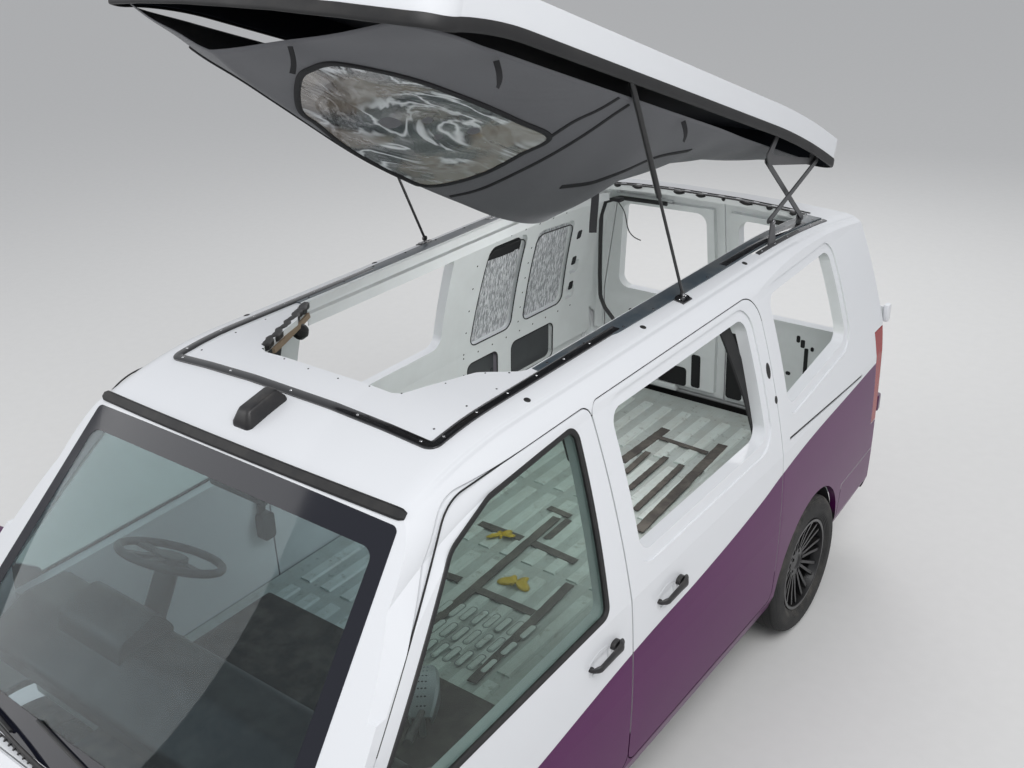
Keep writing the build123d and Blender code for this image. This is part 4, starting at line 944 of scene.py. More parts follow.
class CAMPER_OT_windscreen(bpy.types.Operator):
    """Printed border, top rubber, scuttle and wipers"""

    bl_idname = "camper.windscreen"
    bl_label = "Windscreen Trim"

    def execute(self, context):
        outer = divided(rounded(SCREEN_EDGE), 14)
        inner = divided(rounded(SCREEN_CLEAR), 14)
        border = band(outer, inner, screen_points, -0.5, 1.0)
        mesh_object("screen_border", [border], "van", "frit")
        width = context.scene.camper_sizes.seal_width * 1000
        x = np.linspace(-706, 706, 90)
        up = 1077 + 10 * (x / 700) ** 2
        path = on_screen(x, up)
        out = unit(on_screen(x, up, 1.0) - path)
        swell = np.interp(np.abs(x), (688, 706), (1.0, 0.6))[:, None, None]
        profile = np.array(((-width / 2, -3), (-width / 2, 4), (-width / 3, 9), (width / 3, 9),
                            (width / 2, 4),
                            (width / 2, -3)))
        rubber = carried(path, out, profile[None] * swell)
        mesh_object("screen_rubber", [rubber], "van", "seal")
        self.scuttle()
        self.wipers()
        return {"FINISHED"}

    def scuttle(self):
        """Slatted strip under the glass: a profile carried across, its slats a row of thin ribs."""
        x = np.linspace(-800, 800, 60)
        sweep = on_screen(x, np.full_like(x, -6.0))
        out = np.array((0.0, -0.55, 0.83))
        strip = carried(sweep, out, ((-26, -8), (-26, 1), (-20, 4), (20, 4), (26, 1), (26, -8)))
        ribs = []
        for centre in np.linspace(-620, 620, 44):
            line = on_screen(np.array([centre, centre]), np.array([-26.0, 12.0]), 5.0)
            ribs.append(carried(line, out, flat_profile(-4, 4, -4, 2)))
        mesh_object("scuttle_strip", [strip, *ribs], "van", "black")

    def wipers(self):
        """Arms and blades resting low on the glass: tapered bars carried along straight lines."""
        for name, pivot, tip, blade in (
                ("wiper_left", (640, 6), (120, 74), 300), ("wiper_right", (-30, 6), (-560, 74), 300)):
            t = np.linspace(0, 1, 24)
            x = pivot[0] + (tip[0] - pivot[0]) * t
            up = pivot[1] + (tip[1] - pivot[1]) * t
            lift = 8 + 26 * np.sin(np.pi * t) ** 0.8
            path = on_screen(x, up, lift)
            width = (14 - 7 * t)[:, None, None]
            profile = np.array(((-0.5, -0.35), (-0.5, 0.2), (-0.2, 0.4), (0.2, 0.4), (0.5, 0.2),
                                (0.5, -0.35)))
            arm = carried(path, (0, -0.7, 0.7), profile[None] * width)
            along = np.linspace(-blade, blade, 30)
            bx, bu = tip[0] + along * 0.985, tip[1] + along * -0.12
            rubber = carried(on_screen(bx, bu, 6.0), (0, -0.7, 0.7),
                             ((-3, -6), (-5, 3), (-2, 8), (2, 8), (5, 3), (3, -6)))
            hub = dome(on_screen(*pivot, 4.0), (0, -0.7, 0.7), ((16, -10), (16, 6), (12, 12), (5, 14)))
            mesh_object(name, [arm, rubber, hub], "van", "black")


# Doors and sides

WINDOW_SEAL = ((-11, -10.5), (-11, -2), (-6, 2.5), (7, 3), (10, 0.3), (0.5, 0.3), (0.5, -10.5))
DOOR_HANDLE = (2042, 1044)
SLIDE_HANDLE = (2496, 1046)
SLIDE_GROOVE = ((3562, 1193), (3900, 1170), (4200, 1148), (4486, 1126))
PILLAR_MARKS = ((3446, 1542, 17, 34), (3472, 1406, 12, 17))


def side_loop(outline, profile, side, step=10):
    """Profile carried round a closed outline on the body side."""
    outline = evenly(outline, int(len(outline) * step / 2))
    path, out = on_side(outline, 0.0, side)
    return carried(path, out, profile, True, path.mean(0))


def side_patch(outline, low, high, side):
    """Plate on the body side between two lifts."""
    return plate(on_side(outline, low, side)[0], on_side(outline, high, side)[0])


def ellipse(station, height, half_long, half_high, count=40):
    angle = np.linspace(0, 2 * math.pi, count, endpoint=False)
    return np.stack([station + half_long * np.cos(angle), height + half_high * np.sin(angle)], -1)


def dished(outline, lift, depth, side, rings=9):
    """Bowl inside an outline: rings shrink to the middle and sink as one minus the square of their size."""
    t = np.linspace(1, 0.02, rings)
    middle = outline.mean(0)
    rows = []
    for share in t:
        sunk = lift - depth * (1 - share**2)
        rows.append(on_side(middle + (outline - middle) * share, sunk, side)[0])
    points = np.vstack(rows)
    faces = grid_faces(rings, len(outline), False, True)
    faces.append(list(range((rings - 1) * len(outline), rings * len(outline))))
    return points, faces


class CAMPER_OT_sides(bpy.types.Operator):
    """Window seals, handles, groove and small marks on the sides"""

    bl_idname = "camper.sides"
    bl_label = "Side Trim"

    def execute(self, context):
        for side, word in ((1, "left"), (-1, "right")):
            seal = side_loop(rounded(FRONT_WINDOW, 12), WINDOW_SEAL, side)
            mesh_object(f"door_seal_{word}", [seal], f"door_front_{word}", "seal")
            self.handle(f"door_handle_{word}", DOOR_HANDLE, side, f"door_front_{word}")
        self.handle("slide_handle", SLIDE_HANDLE, 1, "van")
        groove = np.array(SLIDE_GROOVE, float)
        groove = np.stack([np.linspace(3566, 4484, 40), np.interp(np.linspace(3566, 4484, 40), *groove.T)],
                          -1)
        path, out = on_side(groove)
        # A black strip down in the sliding door's groove, painted as the shade inside it.
        filler = carried(path, out, ((-6, -20), (-6, -4), (6, -4), (6, -20)))
        mesh_object("slide_groove_shade", [filler], "van", "seal")
        marks = [side_patch(ellipse(s, z, a, b), -3, 0.8, 1) for s, z, a, b in PILLAR_MARKS]
        mesh_object("pillar_grommets", marks, "van", "seal")
        self.shut_lines()
        self.rear_hinge_covers()
        return {"FINISHED"}

    def shut_lines(self):
        """Dark strips down in the shut lines above the front and sliding doors, painted as the shade in the
        gaps.
        """
        for side, word in ((1, "left"), (-1, "right")):
            parts = []
            for outline, front, back in SHUT_LINES[:2 if side > 0 else 1]:
                loop = grown(evenly(rounded(outline), 900), 2.5)
                loop = np.roll(loop, -np.argmin(loop[:, 1]), axis=0)
                low = np.where(loop[:, 0] < (outline[0][0] + outline[-1][0]) / 2, front, back)
                line = evenly(loop[loop[:, 1] > low], 160, False)
                path, out = on_side(line, -1.0, side)
                parts.append(carried(path, out, ((-2.4, -4), (-2.4, 0), (2.4, 0), (2.4, -4))))
            mesh_object(f"shut_line_shade_{word}", parts, "van", "seal")

    def handle(self, name, middle, side, body):
        """Grab bar arched over a shallow cup: its lift rises and falls as a rounded step."""
        station, height = middle
        cup = ellipse(station - 22, height - 12, 74, 43)
        rim = side_loop(cup, ((-2.5, -1), (-2.5, 0.4), (0, 1.2), (2.5, 0.4), (2.5, -1)), side, 4)
        bowl = dished(cup, 0.4, 15, side)
        mesh_object(f"{name}_cup", [rim, bowl], body, "white", mend=False)
        t = np.linspace(-1, 1, 40)
        s = station + 92 * t
        z = height + 2 + 5 * t
        lift = 6 + 26 * np.clip((1 - np.abs(t)) * 3.2, 0, 1) ** 0.6
        lift = np.where(t > 0.55, np.maximum(lift, 20), lift)
        path, out = on_side(np.stack([s, z], -1), lift, side)
        width = np.interp(t, (-1, -0.8, 0.3, 0.8, 1), (14, 26, 31, 38, 28))
        thick = np.interp(t, (-1, -0.8, 0.3, 0.8, 1), (9, 15, 17, 20, 15))
        profile = round_profile(1, 1, 14)[None] * np.stack([width, thick], -1)[:, None]
        bar = carried(path, out, profile)
        root = side_patch(ellipse(station + 66, height + 6, 26, 17), -1, 18, side)
        toe = side_patch(ellipse(station - 84, height - 3, 12, 8), -1, 8, side)
        mesh_object(name, [bar, root, toe], body, "black")

    def rear_hinge_covers(self):
        """Rounded caps over the rear doors' outside hinges."""
        for side, word in ((1, "left"), (-1, "right")):
            for height, finish in ((1330, "white"), (820, "purple")):
                outline = rounded(((858, 4838, 8), (889, 4838, 10), (884, 4884, 10), (858, 4892, 8)), 6)
                levels = [(-44, 0.86), (-38, 1.0), (38, 1.0), (44, 0.86)]
                middle = outline.mean(0)
                rows = []
                for rise, share in levels:
                    ring = middle + (outline - middle) * share
                    rows.append(place(side * ring[:, 0], ring[:, 1], height + rise))
                mesh_object(f"hinge_cap_{word}_{height}", [lofted(rows)], "van", finish)


# Roof

TRIM_CORNER = (622, 1608)
TRIM_WIDTH = 36
TRIM_END = 2655
REAR_TRIM = (3470, 4270)
BEAM = ((2200, 558, 586), (2420, 558, 588), (2640, 560, 630), (3300, 564, 640), (3900, 566, 642),
        (4440, 566, 644))
ROOF_PLUGS = (2017, 2738, 3568)
STRUT_FOOT = (655, 3057)


def along_roof(x, station, lift):
    """Path on the roof and its upward directions, taken from the surface's slopes."""
    x, station = np.broadcast_arrays(np.asarray(x, float), np.asarray(station, float))
    slope_x = (roof_height(x + 1, station) - roof_height(x - 1, station)) / 2
    slope_s = (roof_height(x, station + 1) - roof_height(x, station - 1)) / 2
    out = unit(np.stack([-slope_x, -slope_s, np.ones_like(slope_x)], -1))
    return on_roof(x, station, 0.0) + out * np.asarray(lift)[..., None] / 1000, out


def screw(x, station, lift, radius=5.0):
    """Domed screw head standing on the roof."""
    centre, out = along_roof(x, station, np.array(lift))
    return dome(centre, out, ((radius, -2), (radius, 0.6), (radius * 0.75, 2.0), (radius * 0.3, 2.5)), 14)


def roof_strip(side, stations, low, high, bottom, top, count=90):
    """Flat strip along the roof between two lines of x, keyed by station."""
    s = np.linspace(stations[0], stations[-1], count)
    inner = np.interp(s, stations, low)
    outer = np.interp(s, stations, high)
    loops = []
    for x, lift in ((inner, bottom), (inner, top - 1), (inner + 2, top), (outer - 2, top), (outer, top - 1),
                    (outer, bottom)):
        loops.append(along_roof(side * x, s, np.full_like(s, lift))[0])
    return lofted(np.stack(loops, 1))


class CAMPER_OT_roof(bpy.types.Operator):
    """Black framing strips, steel beams, plugs, aerial foot and corner tape"""

    bl_idname = "camper.roof"
    bl_label = "Roof Details"

    def execute(self, context):
        self.strips()
        self.beams()
        self.header()
        plugs = [screw(side * 669, s, 0.4, 12) for s in ROOF_PLUGS for side in (1, -1)]
        mesh_object("roof_plugs", plugs, "van", "seal")
        # Small holes in the roof panel: sunk discs painted near black as the shade inside them.
        pricks = [(x, 1760 + 0.00035 * x * x, 3.5) for x in (-330, -190, -60, 80, 210, 330)]
        pricks += [(400, 1935, 3.5), (455, 2075, 3.5), (515, 2128, 4.5), (548, 1700, 4), (548, 1860, 4),
                   (552, 2010, 4)]
        holes = [screw(x * side, s, -1.2, r) for x, s, r in pricks for side in ((1, -1) if x > 340 else (1,))]
        mesh_object("panel_hole_shades", holes, "van", "dark")
        self.aerial()
        self.corner_tape()
        return {"FINISHED"}

    def strips(self):
        """One black strip turned round both front corners, and short ones beside the linkage."""
        x, s = TRIM_CORNER
        mid = TRIM_WIDTH / 2
        corners = rounded(((-(x - mid), TRIM_END, 1), (-(x - mid), s + mid, 24), (x - mid, s + mid, 24),
                           (x - mid, TRIM_END, 1)), 12)
        path = evenly(corners[6:-6], 420, False)
        points, out = along_roof(path[:, 0], path[:, 1], np.zeros(len(path)))
        strip = carried(points, out,
                        ((-mid, -2), (-mid, 5), (-mid + 3, 7), (mid - 3, 7), (mid, 5), (mid, -2)))
        parts = [strip]
        for side in (1, -1):
            parts.append(roof_strip(side, REAR_TRIM, (600, 606), (634, 640), -1, 7))
        trim = mesh_object("roof_strips", parts, "van", "gloss")
        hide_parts("roof_trim")
        heads = [screw(u, s + mid, 7) for u in (-560, -300, 0, 300, 560)]
        heads += [screw(side * (x - mid), v, 7, 4.5) for side in (1, -1) for v in range(1680, 2640, 160)]
        mesh_object("strip_screws", heads, "van", "steel")

    def beams(self):
        """Pressed steel beams along both edges of the opening: a folded section with a deep inner face."""
        stations = [row[0] for row in BEAM]
        low = [row[1] for row in BEAM]
        high = [row[2] for row in BEAM]
        s = np.linspace(stations[0], stations[-1], 110)
        inner = np.interp(s, stations, low)
        for side, word in ((1, "left"), (-1, "right")):
            top = roof_strip(side, stations, low, high, -1, 5.5, 110)
            section = ((inner - 3, 4), (inner + 2, 5.5), (inner + 2, -44), (inner - 22, -48),
                       (inner - 22, -88),
                       (inner - 25, -88), (inner - 25, -45), (inner - 3, -41))
            loops = [along_roof(side * x, s, np.full_like(s, lift))[0] for x, lift in section]
            mesh_object(f"roof_beam_{word}", [top], "van", "beam")
            mesh_object(f"beam_face_{word}", [lofted(np.stack(loops, 1))], "van", "inner")
            heads = [screw(side * (np.interp(v, stations, high) - 10), v, 5.5, 5)
                     for v in range(2260, 4400, 210)]
            mesh_object(f"beam_screws_{word}", heads, "van", "gloss")

    def header(self):
        """Rear edge of the opening: two black sealant lines, pale tabs and dark lumps."""
        x = np.linspace(-560, 560, 80)
        parts = []
        for station, width in ((4458, 16), (4506, 9)):
            path, out = along_roof(x, station + 0 * x, np.full_like(x, 0.0))
            parts.append(carried(path, out, ((-width, -1), (-width * 0.6, 4), (width * 0.6, 4), (width, -1))))
        for k, centre in enumerate(np.linspace(-500, 500, 9)):
            half = 24 + 14 * math.sin(k * 2.3)
            u = np.linspace(centre - half, centre + half, 10)
            swell = np.sin(np.linspace(0.15, math.pi - 0.15, 10))[:, None, None]
            path, out = along_roof(u, 4448 + 6 * np.sin(u / 17), np.full_like(u, -6.0))
            parts.append(carried(path, out, round_profile(30, 22, 10)[None] * swell))
        mesh_object("header_sealant", parts, "van", "tape")
        tabs = []
        for centre in np.linspace(-480, 480, 11):
            path, out = along_roof(np.array([centre - 14, centre + 14]), 4482 + np.zeros(2), np.zeros(2))
            tabs.append(carried(path, out, flat_profile(-9, 9, -1, 3.5)))
        mesh_object("header_tabs", tabs, "van", "white")

    def aerial(self):
        """Aerial foot: a rounded box whose plan shrinks towards a flat top, lying on the roof."""
        base = rounded(((-64, -90, 20), (24, -90, 20), (22, 90, 20), (-62, 90, 20)), 10)
        rows = []
        for height, shrink, shift in ((-6, 1.0, 0), (2, 1.0, 0), (12, 0.97, 0), (40, 0.66, 3), (46, 0.6, 5),
                                      (48, 0.5, 6)):
            middle = np.array((-20, 0))
            ring = middle + (base - middle) * np.array((shrink,
                                                        shrink + 0.1 * (shrink < 0.9))) + np.array((0, shift))
            rows.append(along_roof(ring[:, 0], ring[:, 1] + 1506, np.full(len(ring), float(height)))[0])
        foot = mesh_object("aerial_foot", [lofted(rows)], "van", "black", angle=50)
        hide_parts("aerial_base")

    def corner_tape(self):
        """Black tape and a foam edge along the opening's front right corner."""
        t = np.linspace(0, 1, 40)
        x = -(352 + 196 * t**1.15)
        s = 1818 + 400 * t
        wobble = 5 * np.sin(t * 31) + 3 * np.sin(t * 67)
        path, out = along_roof(x + wobble, s, np.full_like(t, -4.0))
        tape = carried(path, out, ((-17, -8), (-15, 5), (-4, 8), (10, 6), (16, 2), (14, -16), (-6, -22)))
        path, out = along_roof(x + 22, s + 4, np.full_like(t, -26.0))
        foam = carried(path[3:-4], out[3:-4], ((-5, -18), (-7, 2), (5, 4), (7, -16)))
        lump = dome(place(-450, 2092, 1905), (0.5, 0.2, 0.8), ((26, -30), (34, -8), (26, 12), (9, 22)), 14)
        mesh_object("corner_tape", [tape, lump], "van", "tape")
        mesh_object("corner_foam", [foam], "van", "foam")


# Canvas

FILM_OUTLINE = (
    (1776, .244), (1736, .367), (1743, .509), (1875, .635), (2118, .693), (2357, .691), (2538, .667),
    (2521, .507), (2500, .279), (2428, .044), (2315, .014), (2116, .012), (1978, .042), (1900, .062),
)
PIPINGS = (
    ((2538, .667), (2552, .798), (2594, .898), (2622, .984)),
    ((2538, .024), (2580, .172), (2608, .403), (2639, .621), (2664, .776), (2685, .9), (2704, .968)),
)
HEM = ((2849, .391), (2957, .467), (3044, .585), (3220, .69), (3391, .77))
TIES = ((1, 1634, .47, 70), (1, 1975, .97, 70), (1, 3050, .985, 70), (-1, 1975, .97, 70),
        (-1, 3050, .985, 70))


def curve_through(points, count, closed=False):
    """Smooth line through a few (station, across) keys, worked out by their running share."""
    keys = np.array(points, float)
    if closed:
        keys = np.vstack([keys[-2:], keys, keys[:2]])
    share = np.arange(len(keys), dtype=float)
    t = np.linspace(2, len(keys) - 2, count, endpoint=False) if closed else np.linspace(0, len(keys) - 1,
                                                                                        count)
    return smooth_line(np.column_stack([share, keys]), t)


def on_hull(station, across, lift=0.0, side=1):
    """Points on a canvas wall and their outward normals, lifted outward by millimetres."""
    station, across = np.broadcast_arrays(np.asarray(station, float), np.asarray(across, float))
    ahead = hull(station + 2, across, side) - hull(station - 2, across, side)
    up = hull(station, np.minimum(across + 0.004, 1), side) - hull(station, np.maximum(across - 0.004, 0),
                                                                   side)
    normal = unit(np.cross(up, ahead)) * side
    low = normal[..., 2] > 0
    normal = np.where(low[..., None], -normal, normal)
    return hull(station, across, side) + normal * np.asarray(lift, float)[..., None] / 1000, normal


def cloth_lift(station, across):
    """Soft folds of the hanging cloth: long waves that fan from the keel and die at the rim."""
    fade = np.sin(np.pi * np.clip(across, 0, 1)) ** 0.7
    rear = np.clip((station - 2500) / 500, 0, 1)
    front = np.clip((2100 - station) / 500, 0, 1)
    waves = 5 * np.sin(station / 62 + 5 * across) * rear + 3.0 * np.sin(station / 41 - 9 * across) * front
    return waves * fade - 4


class CAMPER_OT_canvas(bpy.types.Operator):
    """Hanging cloth, clear windows, piping, hems, ties and strap"""

    bl_idname = "camper.canvas"
    bl_label = "Canvas"

    def execute(self, context):
        sheet = self.cloth()
        extras = []
        for side, word in ((1, "left"), (-1, "right")):
            extras += self.window(side, word)
            extras += self.lines(side, word)
        self.strap(context.scene.camper_sizes.strap_width)
        self.rim_rubber()
        anchor = tuple(float(v) for v in place(0, 3000, rim_height(3000)))
        for piece in (sheet, *extras):
            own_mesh(piece)
        return {"FINISHED"}

    def cloth(self):
        """Both walls as one grid, from the right rim down to the keel and up to the left rim."""
        s = np.linspace(1628, 4418, 190)[:, None]
        w = np.concatenate([np.linspace(-1, 0, 42), np.linspace(0, 1, 42)[1:]])[None, :]
        v = np.abs(w)
        right = on_hull(s, v, cloth_lift(s, v), -1)[0]
        left = on_hull(s, v, cloth_lift(s, v), 1)[0]
        points = np.where((w > 0)[..., None], left, right)
        keel = w[0] == 0
        points[:, keel] = hull(s, v[:, keel], 1) + np.array((0, 0, 0.004))
        piece = mesh_object("canvas_cloth", [sheet_part(points)], "roof_shell", "cloth", angle=50)
        with_modifier(piece, "SOLIDIFY", thickness=0.0016, offset=0)
        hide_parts("canvas")
        return piece

    def window(self, side, word):
        """Clear film as rings shrinking from the outline to its middle, and a piped edge round it."""
        outline = curve_through(FILM_OUTLINE, 150, True)
        middle = np.array((2130.0, 0.36))
        share = np.linspace(1, 0, 30)[:, None, None]
        grid = middle + (outline - middle) * share
        s, v = grid[..., 0], grid[..., 1]
        inside = np.sin(np.pi * np.clip(1 - share[..., 0], 0, 1) / 2)
        crush = 4 * np.sin(s / 47 + 6 * v) * np.sin(v * 23 + s / 130) + 2 * np.sin(s / 23 - 11 * v)
        film = on_hull(s, v, cloth_lift(s, v) + 3.5 + crush * inside, side)[0]
        piece = mesh_object(f"window_film_{word}", [sheet_part(film, True)], "roof_shell", "film",
                            angle=60)
        with_modifier(piece, "SOLIDIFY", thickness=0.0008, offset=0)
        path, out = on_hull(outline[:, 0], outline[:, 1], cloth_lift(outline[:, 0], outline[:, 1]) + 3.0,
                            side)
        edge = carried(path, out, ((-11, -2), (-10, 3), (-4, 4.5), (4, 4.5), (10, 3), (11, -2)), True,
                       path.mean(0))
        binding = mesh_object(f"window_binding_{word}", [edge], "roof_shell", "webbing")
        return [piece, binding]

    def lines(self, side, word):
        """Black piping, the lower hem and short ties on one wall."""
        parts = []
        for keys, width in ((PIPINGS[0], 9), (PIPINGS[1], 9), (HEM, 14)):
            path = curve_through(keys, 60)
            points, out = on_hull(path[:, 0], path[:, 1], cloth_lift(path[:, 0], path[:, 1]) + 2.0, side)
            parts.append(carried(points, out, ((-width, -2), (-width + 2, 2), (width - 2, 2), (width, -2))))
        for which, station, across, length in TIES:
            if which != side:
                continue
            t = np.linspace(0, 1, 20)
            top, out = on_hull(station, across, 6.0, side)
            drop = np.stack([np.zeros(20), 0.012 * np.sin(t * 3), -length / 1000 * t], -1)
            path = top + drop + out * (0.004 + 0.010 * np.sin(t * 2.4))[:, None]
            parts.append(carried(path, out, ((-9, -1.2), (-9, 1.2), (9, 1.2), (9, -1.2))))
        return [mesh_object(f"canvas_piping_{word}", parts, "roof_shell", "webbing")]

    def rim_rubber(self):
        """Black rubber round the raised shell's lower edge: its plan, lifted by the shut roof's surface."""
        front, rear = SHELL_ENDS
        half = np.vstack([
            arc_line((0, front), (379.5, front + 14), (600, front + 60)),
            arc_line((600, front + 60), (668, front + 100), (690, front + 190)),
            arc_line((676, rear - 110), (645, rear - 38), (570, rear))])
        plan = evenly(np.vstack([half, (half * (-1, 1))[::-1][:-1]]), 500)
        rest = place(plan[:, 0], plan[:, 1], roof_height(plan[:, 0], plan[:, 1]) + 12)
        ahead = unit(np.roll(plan, -1, 0) - np.roll(plan, 1, 0))
        out = np.stack([ahead[:, 1], -ahead[:, 0], 0 * plan[:, 0]], -1)
        out = out * np.sign((out[:, :2] * (plan - (0, 3000))).sum(1, keepdims=True))
        turn = np.array(((1, 0, 0), (0, math.cos(TILT), math.sin(TILT)),
                         (0, -math.sin(TILT), math.cos(TILT))))
        path = (rest - place(0, *SHUT_PIVOT)) @ turn.T + place(0, *RAISED_PIVOT)
        profile = np.array(((2, -1), (-30, -1), (-33, 1.5), (-30, 3.5), (-4, 4.5), (3, 3), (6, 0), (6, -9),
                            (2, -9)))
        rubber = carried(path, out @ turn.T, profile, True)
        mesh_object("rim_rubber", [rubber], "roof_shell", "seal")

    def strap(self, width):
        """Webbing that hangs from the raised shell into the opening."""
        half = width * 500
        t = np.linspace(0, 1, 40)
        path = place(-300 + 4 * np.sin(t * 5), 3912 + 6 * np.sin(t * 4), 2150 - 330 * t)
        webbing = carried(path, (0.6, -0.8, 0), ((-half, -1.1), (-half, 1.1), (half, 1.1), (half, -1.1)))
        piece = mesh_object("hanging_strap", [webbing], "roof_shell", "webbing")
        anchor = tuple(float(v) for v in place(0, 3000, rim_height(3000)))
        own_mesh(piece)


class CAMPER_OT_cable(bpy.types.Operator):
    """The loose cable that hangs from the rear header"""

    bl_idname = "camper.cable"
    bl_label = "Loose Cable"

    def execute(self, context):
        data = bpy.data.curves.new("loose_wire", "CURVE")
        data.dimensions = "3D"
        data.bevel_depth = 0.003
        data.bevel_resolution = 4
        data.resolution_u = 12
        data.use_fill_caps = True
        spline = data.splines.new("NURBS")
        spline.points.add(len(CABLE) - 1)
        spline.points.foreach_set("co", [v for p in CABLE for v in (*p, 1.0)])
        spline.order_u = 3
        spline.use_endpoint_u = True
        data.materials.append(FINISHES["seal"])
        wire = bpy.data.objects.new("loose_wire", data)
        context.scene.collection.objects.link(wire)
        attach(wire, "van")
        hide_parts("loose_cable")
        return {"FINISHED"}


# Load space

FLOOR_TOP = 577.5
FLOOR_STRIPS = (
    (-119, 4377, -130, 3917, 1.0), (-67, 4091, -52, 3830, 0.62), (40, 4097, 49, 3703, 0.62),
    (151, 4069, 177, 3548, 0.62), (228, 4385, 286, 3395, 1.0), (-108, 4270, 199, 4257, 0.62),
    (-101, 3273, -56, 2192, 0.8), (258, 2855, 302, 2099, 0.8), (-379, 3022, -130, 3028, 0.8),
    (-271, 2591, -164, 2603, 0.8), (-51, 2590, 247, 2594, 0.8), (-65, 3028, 184, 3012, 0.8),
    (-185, 3327, -53, 3318, 0.7), (-34, 3094, -41, 3290, 0.7),
)
PRESSED_RIBS = tuple((-92 + 56 * i, 2150 + 132 * j + 9 * i) for i in range(8) for j in range(3))
BLIND_PANELS = (
    ((3600, 1188, 50), (3640, 1732, 50), (3942, 1732, 50), (3942, 1188, 50)),
    ((4048, 1188, 50), (4048, 1712, 50), (4374, 1692, 50), (4410, 1188, 50)),
)
POCKETS = (
    ((3590, 860, 40), (3590, 1080, 40), (3840, 1080, 40), (3840, 860, 40)),
    ((3960, 860, 40), (3960, 1080, 40), (4340, 1080, 40), (4340, 860, 40)),
)
INNER_HOLES = ((4462, 1600, 20, 26), (4466, 1436, 20, 26), (4482, 1272, 20, 26))
REAR_DOOR_HOLES = (
    (25, 127, 640, 1050, 22), (-197, -140, 650, 860, 14), (-420, -230, 640, 760, 20),
    (430, 450, 1085, 1125, 8),
    (455, 478, 1060, 1105, 6), (478, 500, 860, 1060, 6), (380, 408, 878, 900, 10), (512, 530, 1050, 1075, 8),
    (464, 484, 770, 830, 6), (540, 560, 700, 740, 8), (-500, -470, 860, 900, 8), (-620, -590, 700, 1060, 12),
)


def floor_plate(outline, low, high):
    """Flat plate over the floor between two heights."""
    return plate(place(outline[:, 0], outline[:, 1], low), place(outline[:, 0], outline[:, 1], high))


def inner_patch(outline, depth, thick, side):
    """Plate on the inside of the body side, at a depth under the outer skin."""
    return plate(on_side(outline, -depth, side)[0], on_side(outline, -depth - thick, side)[0])


